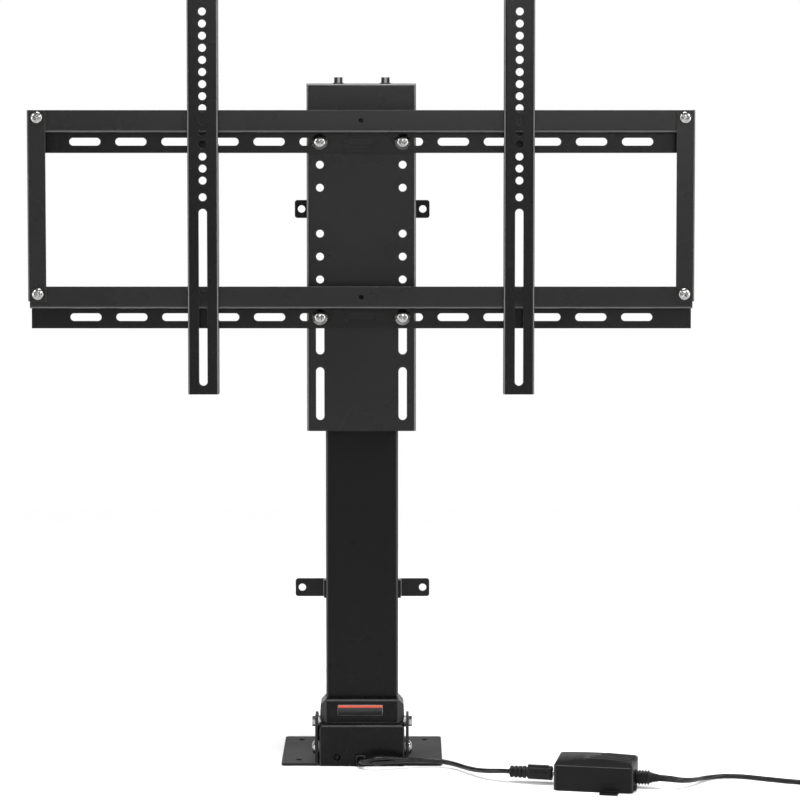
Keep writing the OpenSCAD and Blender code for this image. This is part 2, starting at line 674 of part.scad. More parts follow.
module lead_gland() color("#181818") difference() {
    union() {
        translate([notch_x - notch_w / 2 + 0.2, cover_front - 2, 0.6])
            cube([notch_w - 0.4, cover_t + 2, notch_h - 0.8]);
        translate([notch_x - notch_w / 2 - 1.5, cover_front + cover_t + 0.1, plate_t + 0.2])
            cube([notch_w + 3, 3, notch_h - 1.5]);
        translate([notch_x - notch_w / 2 + 0.2, cover_front, plate_t + 0.2])
            cube([notch_w - 0.4, 4, notch_h - 3.4]);
    }
    rod_y(notch_x, lead_z, cover_front - 3, cover_front + 6, cord_d / 2 + 0.3);
}

// Lead screw with its wheel, on two bearings
module lead_screw() color("silver") translate([0, col_y, 0]) rotate_extrude()
    polygon(concat([[0, journal[0][1]]],
        [for (i = [0 : len(journal) - 1]) each [[journal[i][0], journal[i][1]],
            [journal[i][0], i < len(journal) - 1 ? journal[i + 1][1] : screw_top]]],
        [[4, screw_top], [4, screw_top + stop_h + 2], [0, screw_top + stop_h + 2]]));

tooth_step = 360 / wheel_teeth;
function tooth_half(r) = tooth_share * worm_pitch + (wheel_r - r) * flank;
module wheel_outline() polygon([for (k = [0 : wheel_teeth - 1])
    let (a = 180 + tooth_step / 4 + k * tooth_step, root = wheel_r - dedendum, tip = wheel_r + addendum)
    each [for (q = [[root, -1], [tip, -1], [tip, 1], [root, 1]])
        q[0] * [cos(a), sin(a)] + q[1] * tooth_half(q[0]) * [-sin(a), cos(a)]]]);
module worm_wheel() color("#c9b36a") translate([0, col_y, 0]) difference() {
    union() {
        along_z(wheel_z, wheel_z + wheel_t) wheel_outline();
        rod_z(0, 0, 16, 36, 9);
    }
    rod_z(0, 0, 10, 40, journal[1][0]);
}
module screw_stop_disc() color("#1c1c1c") translate([0, col_y, screw_top]) ring(4, stop_r, stop_h);

// Motor rotor and worm
module motor_shaft() color("silver") rod_y(worm_x, gear_split, shaft_front, motor_y[1] + 3, shaft_r);
module motor_armature() color("#a5672f") translate([worm_x, 0, gear_split]) rotate([-90, 0, 0]) {
    difference() {
        translate([0, 0, motor_y[0] + 6]) cylinder(r = 9.5, h = 24);
        translate([0, 0, motor_y[0] + 5]) cylinder(r = shaft_r, h = 26);
        for (k = [0 : 4]) rotate(k * 72) translate([7, -0.8, motor_y[0] + 5]) cube([4, 1.6, 26]);
    }
    translate([0, 0, motor_y[0] + 31]) ring(shaft_r, 5, 8);
}
worm_turns = 2 * worm_half_l / worm_pitch - 1;
function worm_ring(t) = let (y = worm_pitch * t / 360, r0 = worm_core_r - 0.3, r1 = worm_r + addendum,
    a = tooth_share * worm_pitch + (worm_r - r0) * flank, b = tooth_share * worm_pitch - addendum * flank)
    [for (q = [[r0, -a], [r1, -b], [r1, b], [r0, a]])
        [worm_x + q[0] * sin(t), col_y + y + q[1], gear_split + q[0] * cos(t)]];
module worm_thread() {
    steps = 2 * round(worm_turns * 12);
    verts = [for (i = [0 : steps]) each worm_ring((i - steps / 2) * 15)];
    faces = concat([[0, 2, 1], [0, 3, 2]],
        [for (i = [0 : steps - 1], k = [0 : 3]) let (a = 4 * i + k, b = 4 * i + (k + 1) % 4)
            each [[a, b, a + 4], [b, b + 4, a + 4]]],
        let (o = 4 * steps) [[o, o + 1, o + 2], [o, o + 2, o + 3]]);
    polyhedron(verts, faces, convexity = 10);
}
module worm() color("#b8b8b8") difference() {
    union() {
        rod_y(worm_x, gear_split, col_y - worm_half_l - 3, col_y + worm_half_l + 2, worm_core_r);
        worm_thread();
    }
    rod_y(worm_x, gear_split, col_y - 30, col_y + 30, shaft_r);
}

// Inner column, its foot and its top
module inner_column() color("#4d4d4d") difference() {
    along_z(inner_bottom, inner_top) translate([0, col_y]) column_section(inner_w, inner_d, inner_t);
    for (s = [-1, 1])
        rod_y(s * nut_screw_x, (nut_z[0] + nut_z[1]) / 2, col_y - inner_d, col_y + inner_d, 2.6);
}
module inner_top_block() color("#4d4d4d") difference() {
    along_z(inner_top - top_block_h, inner_top) translate([0, col_y])
        round_rect(inner_w - 2 * inner_t, inner_d - 2 * inner_t, 2);
    for (s = [-1, 1]) rod_z(s * top_screw_x, col_y, inner_top - top_block_h - 1, inner_top + 1, 2.52);
}
module drive_nut() color("#d8d2c0") difference() {
    along_z(nut_z[0], nut_z[1]) translate([0, col_y])
        round_rect(inner_w - 2 * inner_t, inner_d - 2 * inner_t, 2);
    rod_z(0, col_y, nut_z[0] - 1, nut_z[1] + 1, journal[3][0] + run);
    for (s = [-1, 1])
        rod_y(s * nut_screw_x, (nut_z[0] + nut_z[1]) / 2, col_y - inner_d, col_y + inner_d, 2.02);
}
module nut_screws() color("silver") for (s = [-1, 1], sy = [-1, 1])
    translate([s * nut_screw_x, col_y + sy * inner_d / 2, (nut_z[0] + nut_z[1]) / 2])
        rotate([sy > 0 ? -90 : 90, 0, 0]) pan_screw(4, 1.8, 2, 9);
module glide_shoe() color("#e6e2d6") difference() {
    along_z(shoe_z[0], shoe_z[1]) translate([0, col_y])
        round_rect(col_w - 2 * col_t - 2 * glide_gap, col_d - 2 * col_t - 2 * glide_gap, 2);
    along_z(shoe_z[0] - 1, shoe_z[1] + 1) translate([0, col_y]) round_rect(inner_w, inner_d, inner_t + 2);
    translate([inner_w / 2, col_y - strip_w / 2 - 0.8, shoe_z[0] - 1])
        cube([20, strip_w + 1.6, shoe_z[1] - shoe_z[0] + 2]);
}

// Head plate: a channel with a top flange that lies on the inner column
module head_plate() color("#2e2e2e") difference() {
    union() {
        along_z(head_top - head_h, head_top - 3) polygon(rounded([
            [-head_w / 2, head_y + head_flange, 0], [-head_w / 2, head_y, 3.5], [head_w / 2, head_y, 3.5],
            [head_w / 2, head_y + head_flange, 0], [head_w / 2 - head_t, head_y + head_flange, 0],
            [head_w / 2 - head_t, head_y + head_t, 1.5], [-head_w / 2 + head_t, head_y + head_t, 1.5],
            [-head_w / 2 + head_t, head_y + head_flange, 0]]));
        intersection() {
            along_x(-head_w / 2, head_w / 2) polygon(rounded([
                [head_y, head_top - 6, 0], [head_y, head_top, 3.5], [col_back - 2, head_top, 0],
                [col_back - 2, head_top - head_t, 0], [head_y + head_t, head_top - head_t, 1.5],
                [head_y + head_t, head_top - 6, 0]]));
            along_z(head_top - 10, head_top + 1) polygon(rounded([
                [-head_w / 2, head_y, 3.5], [head_w / 2, head_y, 3.5],
                [head_w / 2, head_y + head_flange, 6], [col_w / 2, col_back - 2, 6],
                [-col_w / 2, col_back - 2, 6], [-head_w / 2, head_y + head_flange, 6]]));
        }
        for (s = [-1, 1])
            translate([s * (head_w / 2 - head_t / 2) - head_t / 2, head_y + 3.4, head_top - 3.1])
                cube([head_t, head_flange - 10, 3.1 - head_t + 0.5]);
    }
    for (sx = [-1, 1]) {
        for (k = concat([0], head_rows)) rod_y(sx * head_hole_x / 2, screw_row - k * head_pitch, head_y - 1,
            head_y + head_t + 1, head_hole_d / 2);
        for (z = head_slot_z) along_y(head_y - 1, head_y + head_t + 1)
            translate([sx * head_hole_x / 2, z + head_slot_l / 2]) rotate(90) slot(head_slot_l, slot_w);
        rod_z(sx * top_screw_x, col_y, head_top - head_t - 1, head_top + 1, 3.2);
    }
}
module head_screws() color("#161616") for (s = [-1, 1]) translate([s * top_screw_x, col_y, head_top]) {
    ring(2.6, 6, 0.8);
    difference() {
        translate([0, 0, 0.8]) cylinder(r = 4.7, h = 6);
        translate([0, 0, 3.5]) hex_head(4.5, 4);
    }
    translate([0, 0, 1 - 12]) cylinder(r = 2.5, h = 12);
}

// Rail: slotted strip behind, band in front, joined by a step
module rail(z) {
    difference() {
        along_x(-rail_half, rail_half) polygon(rounded([
            [strip_y + rail_t, z, 0], [strip_y + rail_t, z + rail_strip_h + rail_t, 1 + rail_t],
            [band_y + rail_t, z + rail_strip_h + rail_t, 1], [band_y + rail_t, z + rail_h, 0],
            [band_y, z + rail_h, 0], [band_y, z + rail_strip_h, 1 + rail_t],
            [strip_y, z + rail_strip_h, 1], [strip_y, z, 0]]));
        for (k = [0 : rail_slots - 1]) along_y(strip_y - 1, strip_y + rail_t + 1)
            translate([(k - (rail_slots - 1) / 2) * rail_slot_pitch, z + slot_z])
                slot(rail_slot_l, rail_slot_h);
        rod_y(0, z + rail_strip_h + 12.4, band_y - 1, band_y + rail_t + 1, 2.75);
        for (s = [-1, 1]) rod_y(s * corner_x, z + rail_h - corner_drop, band_y - 1, band_y + rail_t + 1,
            screw_m6_r + 0.2);
    }
}
module upper_rail() color("#262626") rail(rail_z[1]);
module lower_rail() color("#262626") rail(rail_z[0]);

// End piece: an angle across both bands, with its flange outside the rails' ends
module end_piece(s) mirror([s < 0 ? 1 : 0, 0, 0]) difference() {
    low = rail_z[0] + rail_h - 2 * corner_drop;
    edge = rail_half + end_gap + end_t;
    along_z(low, rail_z[1] + rail_h) polygon(rounded([
        [edge - end_w, band_y, 0], [edge - end_w, band_y - end_t, 0], [edge, band_y - end_t, 1 + end_t],
        [edge, band_y + end_flange, 0], [edge - end_t, band_y + end_flange, 0],
        [edge - end_t, band_y, 0.3]]));
    for (z = rail_z) rod_y(corner_x, z + rail_h - corner_drop, band_y - end_t - 1, band_y + 1,
        screw_m6_r + 0.2);
}
module end_piece_left() color("#2b2b2b") end_piece(-1);
module end_piece_right() color("#2b2b2b") end_piece(1);

module corner_screws() color("silver") for (s = [-1, 1], z = rail_z)
    translate([s * corner_x, band_y - end_t, z + rail_h - corner_drop]) rotate([90, 0, 0]) {
        pan_screw(6.4, 3.6, screw_m6_r, 12);
        translate([0, 0, -end_t - rail_t - 5]) difference() {
            hex_head(10, 5);
            translate([0, 0, -1]) cylinder(r = screw_m6_r + 0.02, h = 7);
        }
    }

module rail_screws() color("silver") for (s = [-1, 1], z = rail_z)
    translate([s * head_hole_x / 2, strip_y, z + slot_z]) rotate([90, 0, 0]) {
        ring(screw_m6_r + 0.1, 8.5, 1.5);
        translate([0, 0, 1.5]) pan_screw(6.2, 3.6, screw_m6_r, 13);
    }
module rail_nuts() color("silver") for (s = [-1, 1], z = rail_z)
    translate([s * head_hole_x / 2, head_y + head_t, z + slot_z]) rotate([-90, 0, 0]) difference() {
        union() {
            cylinder(r = 7, h = 1.2);
            hex_head(10, 6);
        }
        translate([0, 0, -1]) cylinder(r = screw_m6_r + 0.02, h = 8);
    }

// Arm: a channel whose flanges are notched to hook over both bands
module arm_notch(z) {
    top = z + rail_h + hook_gap;
    low = z + rail_strip_h - hook_lift;
    hook_y = band_y + rail_t + 0.6;
    polygon([[band_y - 0.5, low], [band_y + arm_d + 5, low], [band_y + arm_d + 5, top],
        [hook_y + hook_t, top], [hook_y + hook_t, top - hook_drop + 3], [hook_y + 1.5, top - hook_drop],
        [hook_y, top - hook_drop], [hook_y, top], [band_y - 0.5, top]]);
}
module arm(x) difference() {
    along_z(arm_z, arm_z + arm_l) translate([x, 0]) polygon(rounded([
        [-arm_w / 2, arm_y + arm_d, 0], [-arm_w / 2, arm_y, 1 + arm_t], [arm_w / 2, arm_y, 1 + arm_t],
        [arm_w / 2, arm_y + arm_d, 0], [arm_w / 2 - arm_t, arm_y + arm_d, 0],
        [arm_w / 2 - arm_t, arm_y + arm_t, 1], [-arm_w / 2 + arm_t, arm_y + arm_t, 1],
        [-arm_w / 2 + arm_t, arm_y + arm_d, 0]]));
    for (z = rail_z) along_x(x - arm_w, x + arm_w) arm_notch(z);
    top = arm_z + arm_l;
    for (k = [0 : arm_holes - 1]) rod_y(x, top - first_hole - k * arm_pitch, arm_y - 1, arm_y + arm_t + 1,
        arm_hole_d / 2);
    rod_y(x, top - first_hole - (arm_holes - 1) * arm_pitch - last_hole_gap, arm_y - 1, arm_y + arm_t + 1,
        arm_hole_d / 2);
    slot_l = min(arm_slot_l, (arm_l - first_hole - (arm_holes - 1) * arm_pitch - last_hole_gap
        - arm_hole_d - 2 * arm_slot_end) / 2);
    for (k = [0, 1]) along_y(arm_y - 1, arm_y + arm_t + 1)
        translate([x, arm_z + arm_slot_end + slot_l / 2 + k * (slot_l + 6)]) rotate(90) slot(slot_l, slot_w);
}
module arm_left() color("#262626") arm(-arm_x);
module arm_right() color("#262626") arm(arm_x);

// Motor lead: from the gland, over the plate's corner, to the connector at the box
lead_z = 7;
lead_route = [[notch_x, cover_front + 5, lead_z], [notch_x, cover_front - 2, lead_z], [-1.5, -75.5, 7.4],
    [1, -81, 8.4], [8, -85.5, 9.8], [18, -86, 11], [30, -83, 11], [43, -79, 10], [57, -75, 9], [72, -72.5, 8],
    [86, -72.5, 7], [98.5, -77.5, 6], [108.5, -87.5, 5.5], [117, -100.5, 6], [126.5, -114.5, 7.5],
    [137, -126.5, 9.6], [148.5, -134.5, 11.5]];
box_dir = [cos(box_turn), sin(box_turn), 0];
box_back = [-sin(box_turn), cos(box_turn), 0];
jack = [box_corner[0], box_corner[1], jack_z] + box_back * box_d / 2;
connector_end = jack - box_dir * pin_gap;
connector_start = connector_end - box_dir * connector_l;
module motor_lead() color("#1e1e1e") tube(curve(concat(lead_route, [connector_start]), 3), cord_d, 8);

// Turns a solid built along +Z to lie along the box's length from a point
module along_box(p) translate(p) rotate([0, 90, box_turn]) children();

module lead_connector() color("#1b1b1b") {
    along_box(connector_start) union() {
        cylinder(r1 = 3.8, r2 = 5.2, h = grip_l + 1);
        for (k = [0 : 3]) translate([0, 0, 1 + k * grip_l / 4.4])
            cylinder(r = 5.2 + k * 0.35, h = grip_l / 7);
        translate([0, 0, grip_l]) cylinder(r = plug_r, h = connector_l - grip_l);
        translate([-plug_r - 1.4, -3, grip_l]) cube([plug_r, 6, connector_l - grip_l - 4]);
    }
    color("silver") along_box(connector_end) cylinder(r = pin_r, h = pin_gap + 6);
}

// Control box, built with its front left corner at the origin and its length along X
module at_box() translate([box_corner[0], box_corner[1], 0]) rotate(box_turn) children();
module box_outline(in) round_rect_at(in, in, box_l - in, box_d - in, 4);
module round_rect_at(x0, y0, x1, y1, r) translate([(x0 + x1) / 2, (y0 + y1) / 2])
    round_rect(x1 - x0, y1 - y0, r);
module box_lid(in, bottom) intersection() {
    along_x(0, box_l) polygon([[in, bottom], [in, box_h - 0.8 - in], [0.8 + in, box_h - in],
        [box_slope_w, box_h + box_slope_h - in], [box_d - box_slope_w, box_h + box_slope_h - in],
        [box_d - 0.8 - in, box_h - in], [box_d - in, box_h - 0.8 - in], [box_d - in, bottom]]);
    along_y(0, box_d) polygon(concat([[in, bottom], [in, box_h - 1 - in]],
        [for (k = [0 : 12]) let (t = k / 12) [in + 2.4 + (box_l - 4.8 - 2 * in) * t,
            box_h - in + box_arch[0] + (box_arch[1] - box_arch[0]) * sin(180 * t)]],
        [[box_l - in, box_h - 1 - in], [box_l - in, bottom]]));
    along_z(0, 60) box_outline(max(in, 0));
}

module control_box_lower() color("#2a2a2a") at_box() difference() {
    union() {
        difference() {
            along_z(box_foot, box_seam) box_outline(0);
            along_z(box_foot + box_wall, box_seam + 1) box_outline(box_wall);
            jack_opening();
            relief_opening();
        }
        for (x = [9, box_l - 9], y = [9, box_d - 9]) {
            rod_z(x, y, box_foot, box_seam, 3.5);
            rod_z(x, y, 0, box_foot, 5);
        }
        translate([box_l * 0.59, -11, 0.2]) along_z(0, 2) round_rect_at(0, 0, 20, 19, 2);
        translate([box_l - 4, 8, 2]) along_z(0, 4.5) round_rect_at(0, 0, 7, 8, 1.5);
    }
    for (x = [9, box_l - 9], y = [9, box_d - 9]) {
        rod_z(x, y, -1, 3.4, 2.8);
        rod_z(x, y, 0, box_seam + 1, 1.6);
    }
}
module control_box_upper() color("#2a2a2a") at_box() difference() {
    union() {
        box_lid(0, box_seam);
        intersection() {
            box_lid(-rib_rise, box_seam);
            for (k = [0 : 4]) translate([box_l * 0.38 + k * 5, box_d / 2 - 15 + k * 7, box_h])
                cube([box_l * 0.56 - k * 3, 2, 20]);
        }
    }
    difference() {
        box_lid(box_wall, box_seam - 1);
        for (x = [9, box_l - 9], y = [9, box_d - 9]) rod_z(x, y, box_seam + board_t, box_h, 3.5);
    }
    for (x = [9, box_l - 9], y = [9, box_d - 9]) rod_z(x, y, box_seam - 1, box_seam + 10, 1.27);
    jack_opening();
    relief_opening();
}
module jack_opening() rod_x(box_d / 2, jack_z, -1, box_wall + 1, 5.2);
module relief_opening() rod_x(box_d / 2, jack_z, box_l - box_wall - 1, box_l + 1, 4.6);
module box_screws() color("silver") at_box() for (x = [9, box_l - 9], y = [9, box_d - 9])
    translate([x, y, 3.4]) mirror([0, 0, 1]) pan_screw(2.6, 1.8, 1.25, 12);
module control_board() color("darkgreen") at_box() along_z(box_seam, box_seam + board_t) difference() {
    round_rect_at(box_wall + 0.5, box_wall + 0.5, box_l - box_wall - 0.5, box_d - box_wall - 0.5, 3);
    for (x = [9, box_l - 9], y = [9, box_d - 9]) translate([x, y]) circle(1.6);
    translate([-1, box_d / 2 - 8]) square([14, 16]);
    translate([box_l - 14, box_d / 2 - 8]) square([15, 16]);
}
module board_parts() color("#3b3b45") at_box() translate([0, 0, box_seam + board_t]) {
    translate([box_l * 0.42, box_d * 0.3, 0]) cube([box_l * 0.28, box_d * 0.38, 13]);
    for (y = [12, box_d - 13]) translate([box_l * 0.32, y, 0]) cylinder(r = 4, h = 14);
    for (y = [10, box_d - 21]) translate([box_l - 24, y, 0]) cube([9, 11, 9]);
    translate([16, 18, 0]) cube([7, 20, 3]);
}
module lead_socket() color("#151515") at_box() difference() {
    rod_x(box_d / 2, jack_z, 0.4, 12, 5.2 - 0.1);
    rod_x(box_d / 2, jack_z, 0, 8, pin_r + 0.02);
}

// Ribbed strain relief where the mains cord leaves the box
relief_start = jack + box_dir * box_l;
relief_end = relief_start + box_dir * relief_l;
module mains_relief() color("#1b1b1b") along_box(relief_start) union() {
    translate([0, 0, -box_wall - 4]) cylinder(r = 4.5, h = box_wall + 5);
    translate([0, 0, -box_wall - 4]) cylinder(r = 6, h = 3.9);
    cylinder(r = 6.4, h = relief_block_l);
    for (k = [0 : 4]) translate([0, 0, (k + 0.25) * relief_block_l / 5])
        cylinder(r = 7.6, h = relief_block_l / 8);
    translate([0, 0, relief_block_l - 0.5])
        cylinder(r1 = 5.6, r2 = 3.4, h = relief_l - relief_block_l + 0.5);
    for (k = [0 : 2]) translate([0, 0, relief_block_l + 1.8 + k * 3]) cylinder(r = 5.4 - k * 0.5, h = 1.4);
}

// Mains cord: on the floor past the view's edge, then coiled, then to its plug
coil_at = [526, -110];
coil_step = cord_d + 0.65;
mains_route = [[331, -169.4, 11.4], [343, -165, 9], [353, -157, 7], [361, -146.5, 5.2], [369.5, -135.5, 4],
    [380, -126.5, 3.2], [393, -121.5, 3], [407, -121.5, 3], [421, -126, 3], [435, -132.5, 3], [449, -139, 3],
    [463, -145, 3], [478, -149.5, 3.1], [494, -152.2, 3.5], [511, -153, 4]];
coil_low = 1 + cord_d / 2;
coil_start = [coil_at[0], coil_at[1] - coil_r, coil_low];

module mains_cord() color("#1e1e1e")
    tube(curve(concat([relief_end], mains_route, [coil_start]), 3), cord_d, 8);

// The coil spirals in, climbs a layer in half a turn, and spirals out again
coil_rings = 24;
function coil_point(turn) =
    let (a = -90 + 360 * turn, x = min(max(turn - coil_turns, 0), 0.5), out = max(turn - coil_turns - 0.5, 0),
         r = coil_r - coil_step * (min(turn, coil_turns) + x - 2 * x * x - out))
    [coil_at[0] + r * cos(a), coil_at[1] + r * sin(a),
     coil_low + coil_step * 4 * x * x * (3 - 4 * x)];
coil_total = 2 * coil_turns + 0.5;
coil_path = [for (i = [0 : coil_total * coil_rings]) coil_point(i / coil_rings)];
function coil_gap() = min([for (i = [0 : len(coil_path) - 1], j = [i + 12 : 1 : len(coil_path) - 1])
    norm(coil_path[i] - coil_path[j])]) - cord_d;
echo(coil_least_gap = coil_gap());
coil_last = coil_path[len(coil_path) - 1];
plug_h = 15;
tail = [for (p = [[8, -0.6], [15, -1.8], [21, -2.8], [26, -3.15]]) coil_last + [p[0], 0, p[1]]];
plug_at = [coil_last[0] + 26, coil_last[1], plug_h / 2];
module mains_coil() color("#1e1e1e") tube(concat(coil_path, tail), cord_d, 6);

module coil_tie() color("#141414") {
    x = coil_at[0] - coil_r + coil_step * coil_turns / 2;
    z = coil_low + coil_step / 2;
    w = coil_step * coil_turns + cord_d;
    translate([x, coil_at[1], 0]) along_y(-3, 3) difference() {
        translate([0, z]) round_rect(w + 2, 2 * z, 3);
        translate([0, z]) round_rect(w, 2 * z - 1.9, 2);
    }
}

// Plug at the end of the cord, lying beside the coil
plug_l = 34;
plug_w = 24;
plug_grip_l = 16;
blade_l = 17;
module mains_plug() color("#1b1b1b") translate(plug_at) {
    rotate([0, 90, 0]) cylinder(r1 = 3.4, r2 = 5, h = plug_grip_l + 1);
    along_x(plug_grip_l, plug_grip_l + plug_l) round_rect(plug_w, plug_h, 5);
    for (s = [-1, 1]) color("silver") translate([plug_grip_l + plug_l, s * 6.35 - 0.75, -3])
        cube([blade_l, 1.5, 6.3]);
}

base_plate();
cheek_bolts();
gearbox_lower();
gearbox_upper();
gearbox_screws();
bearing_outer_rings();
bearing_balls();
worm_bush();
outer_column();
column_screws();
wall_ears();
guide_bush();
front_cover();
rear_cover();
cover_screws();
blank_label();
motor_flange();
motor_screws();
motor_can();
motor_end_cap();
motor_magnets();
limit_strip();
limit_switches();
lead_gland();
lead_screw();
worm_wheel();
bearing_inner_rings();
screw_stop_disc();
motor_shaft();
motor_armature();
worm();
inner_column();
inner_top_block();
drive_nut();
nut_screws();
glide_shoe();
head_plate();
head_screws();
upper_rail();
lower_rail();
end_piece_left();
end_piece_right();
corner_screws();
rail_screws();
rail_nuts();
arm_left();
arm_right();
motor_lead();
lead_connector();
control_box_lower();
control_box_upper();
control_board();
board_parts();
box_screws();
lead_socket();
mains_relief();
mains_cord();
mains_coil();
coil_tie();
mains_plug();
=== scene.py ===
import math

import bmesh
import bpy
from mathutils import Matrix, Vector


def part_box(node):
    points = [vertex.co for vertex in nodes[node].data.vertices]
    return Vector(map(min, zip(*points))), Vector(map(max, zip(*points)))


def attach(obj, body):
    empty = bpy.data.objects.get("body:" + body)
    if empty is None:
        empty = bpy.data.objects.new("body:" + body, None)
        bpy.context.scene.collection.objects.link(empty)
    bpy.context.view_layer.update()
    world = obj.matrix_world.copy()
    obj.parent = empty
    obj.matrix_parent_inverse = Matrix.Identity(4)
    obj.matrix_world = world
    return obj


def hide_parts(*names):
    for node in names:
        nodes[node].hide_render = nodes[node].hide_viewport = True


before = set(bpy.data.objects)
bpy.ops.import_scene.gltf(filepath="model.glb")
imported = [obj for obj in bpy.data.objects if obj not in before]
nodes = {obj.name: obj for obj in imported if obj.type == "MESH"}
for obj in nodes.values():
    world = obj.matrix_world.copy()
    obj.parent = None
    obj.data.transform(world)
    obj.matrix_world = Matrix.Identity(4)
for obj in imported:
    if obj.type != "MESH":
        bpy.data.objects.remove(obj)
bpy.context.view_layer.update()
mm = 0.001
print("frame loaded,", len(nodes), "nodes")

# the camera, where the photograph was taken from
shot = {"place": (0.0421, -3.18, 0.76), "tilt": 3.585, "lens": 128.483, "shift": -0.18}
lensData = bpy.data.cameras.new("camera")
lensData.sensor_width = 36
lensData.lens = shot["lens"]
lensData.shift_y = shot["shift"]
lensData.clip_start = 0.1
lensData.clip_end = 60
camera = bpy.data.objects.new("camera", lensData)
bpy.context.scene.collection.objects.link(camera)
tilted = Matrix.Rotation(math.radians(90 - shot["tilt"]), 4, "X")
camera.matrix_world = Matrix.Translation(shot["place"]) @ tilted
bpy.context.scene.camera = camera
print("camera set")


def graph(name):
    mat = bpy.data.materials.new(name)
    mat.use_nodes = True
    tree = mat.node_tree
    shader = tree.nodes["Principled BSDF"]
    place = tree.nodes.new("ShaderNodeTexCoord")
    return mat, tree, shader, place.outputs["Object"]


def noise(tree, where, scale, detail=2.0, rough=0.5, stretch=None, distortion=0.0):
    n = tree.nodes.new("ShaderNodeTexNoise")
    n.inputs["Scale"].default_value = scale
    n.inputs["Detail"].default_value = detail
    n.inputs["Roughness"].default_value = rough
    n.inputs["Distortion"].default_value = distortion
    if stretch:
        m = tree.nodes.new("ShaderNodeMapping")
        m.inputs["Scale"].default_value = stretch
        tree.links.new(where, m.inputs["Vector"])
        where = m.outputs["Vector"]
    tree.links.new(where, n.inputs["Vector"])
    return n.outputs["Fac"]


def ramp(tree, value, stops):
    r = tree.nodes.new("ShaderNodeValToRGB")
    marks = r.color_ramp.elements
    while len(marks) < len(stops):
        marks.new(0.5)
    for mark, (at, colour) in zip(marks, stops):
        mark.position = at
        mark.color = (*colour, 1) if hasattr(colour, "__len__") else (colour, colour, colour, 1)
    tree.links.new(value, r.inputs["Fac"])
    return r.outputs["Color"]


def blended(tree, factor, under, over):
    mix = tree.nodes.new("ShaderNodeMix")
    mix.data_type = "RGBA"
    tree.links.new(factor, mix.inputs["Factor"])
    for socket, colour in ((mix.inputs["A"], under), (mix.inputs["B"], over)):
        if isinstance(colour, float):
            socket.default_value = (colour, colour, colour, 1)
        else:
            tree.links.new(colour, socket)
    return mix.outputs["Result"]


def spanned(tree, value, low, high, start=0.3, end=0.7):
    m = tree.nodes.new("ShaderNodeMapRange")
    m.inputs["From Min"].default_value = start
    m.inputs["From Max"].default_value = end
    m.inputs["To Min"].default_value = low
    m.inputs["To Max"].default_value = high
    tree.links.new(value, m.inputs["Value"])
    return m.outputs["Result"]


def maths(tree, kind, a, b):
    m = tree.nodes.new("ShaderNodeMath")
    m.operation = kind
    for socket, v in zip(m.inputs, (a, b)):
        if isinstance(v, (int, float)):
            socket.default_value = v
        else:
            tree.links.new(v, socket)
    return m.outputs["Value"]


def bump(tree, shader, heights, worn=0.0):
    before = None
    if worn:
        edge = tree.nodes.new("ShaderNodeBevel")
        edge.samples = 6
        edge.inputs["Radius"].default_value = worn
        before = edge.outputs["Normal"]
    for height, strength, distance in heights:
        b = tree.nodes.new("ShaderNodeBump")
        b.inputs["Strength"].default_value = strength
        b.inputs["Distance"].default_value = distance
        tree.links.new(height, b.inputs["Height"])
        if before:
            tree.links.new(before, b.inputs["Normal"])
        before = b.outputs["Normal"]
    tree.links.new(before, shader.inputs["Normal"])


def paintedEdgeHighlight(tree, face, pale, start, end):
    # painted highlight: bends and corners, where the normal leaves all three axes and faces front or back,
    # are painted paler than flats and holes
    place = tree.nodes.new("ShaderNodeTexCoord")
    split = tree.nodes.new("ShaderNodeSeparateXYZ")
    tree.links.new(place.outputs["Normal"], split.inputs["Vector"])
    x, y, z = (maths(tree, "ABSOLUTE", split.outputs[axis], 0) for axis in "XYZ")
    along = maths(tree, "MAXIMUM", maths(tree, "MAXIMUM", x, y), z)
    bent = spanned(tree, maths(tree, "SUBTRACT", 1, along), 0, 1, start, end)
    forward = spanned(tree, y, 0, 1, 0.1, 0.3)
    return blended(tree, maths(tree, "MULTIPLY", bent, forward), face, pale)


def powderCoat(name, dark, light, roughness, gloss=0.4, edgeHighlight=(0.13, 0.09, 0.22), paintedRecessShade=None):
    mat, tree, shader, where = graph(name)
    cloud = noise(tree, where, 6, 2, 0.5)
    speck = noise(tree, where, 2600, 1)
    both = maths(tree, "ADD", maths(tree, "MULTIPLY", cloud, 0.5), maths(tree, "MULTIPLY", speck, 0.5))
    # bends and corners get a painted highlight, paler than the face
    face = paintedEdgeHighlight(tree, ramp(tree, both, [(0.25, dark), (0.75, light)]), *edgeHighlight)
    if paintedRecessShade:  # painted shade: the slotted strip set back behind the band is darkened
        split = tree.nodes.new("ShaderNodeSeparateXYZ")
        tree.links.new(where, split.inputs["Vector"])
        face = blended(tree, spanned(tree, split.outputs["Y"], 0, 0.75, *paintedRecessShade), face, 0.002)
    tree.links.new(face, shader.inputs["Base Color"])
    smear = noise(tree, where, 11, 3, 0.5)
    tree.links.new(spanned(tree, smear, *roughness), shader.inputs["Roughness"])
    shader.inputs["Specular IOR Level"].default_value = gloss
    orangePeel = noise(tree, where, 330, 2, 0.4)
    grain = noise(tree, where, 1500, 2, 0.5)
    bump(tree, shader, [(orangePeel, 0.16, 0.00022), (grain, 0.22, 0.00008)], 1.1 * mm)
    return mat


def metal(name, low, high, roughness, stretch=(1, 1, 1), scale=900, strength=0.1):
    mat, tree, shader, where = graph(name)
    shader.inputs["Metallic"].default_value = 1
    cloud = noise(tree, where, 190, 3, 0.6)
    tree.links.new(ramp(tree, cloud, [(0.3, low), (0.7, high)]), shader.inputs["Base Color"])
    lines = noise(tree, where, scale, 4, 0.6, stretch)
    tree.links.new(spanned(tree, lines, *roughness), shader.inputs["Roughness"])
    bump(tree, shader, [(lines, strength, 0.00005), (noise(tree, where, 240, 2), 0.06, 0.0001)])
    return mat


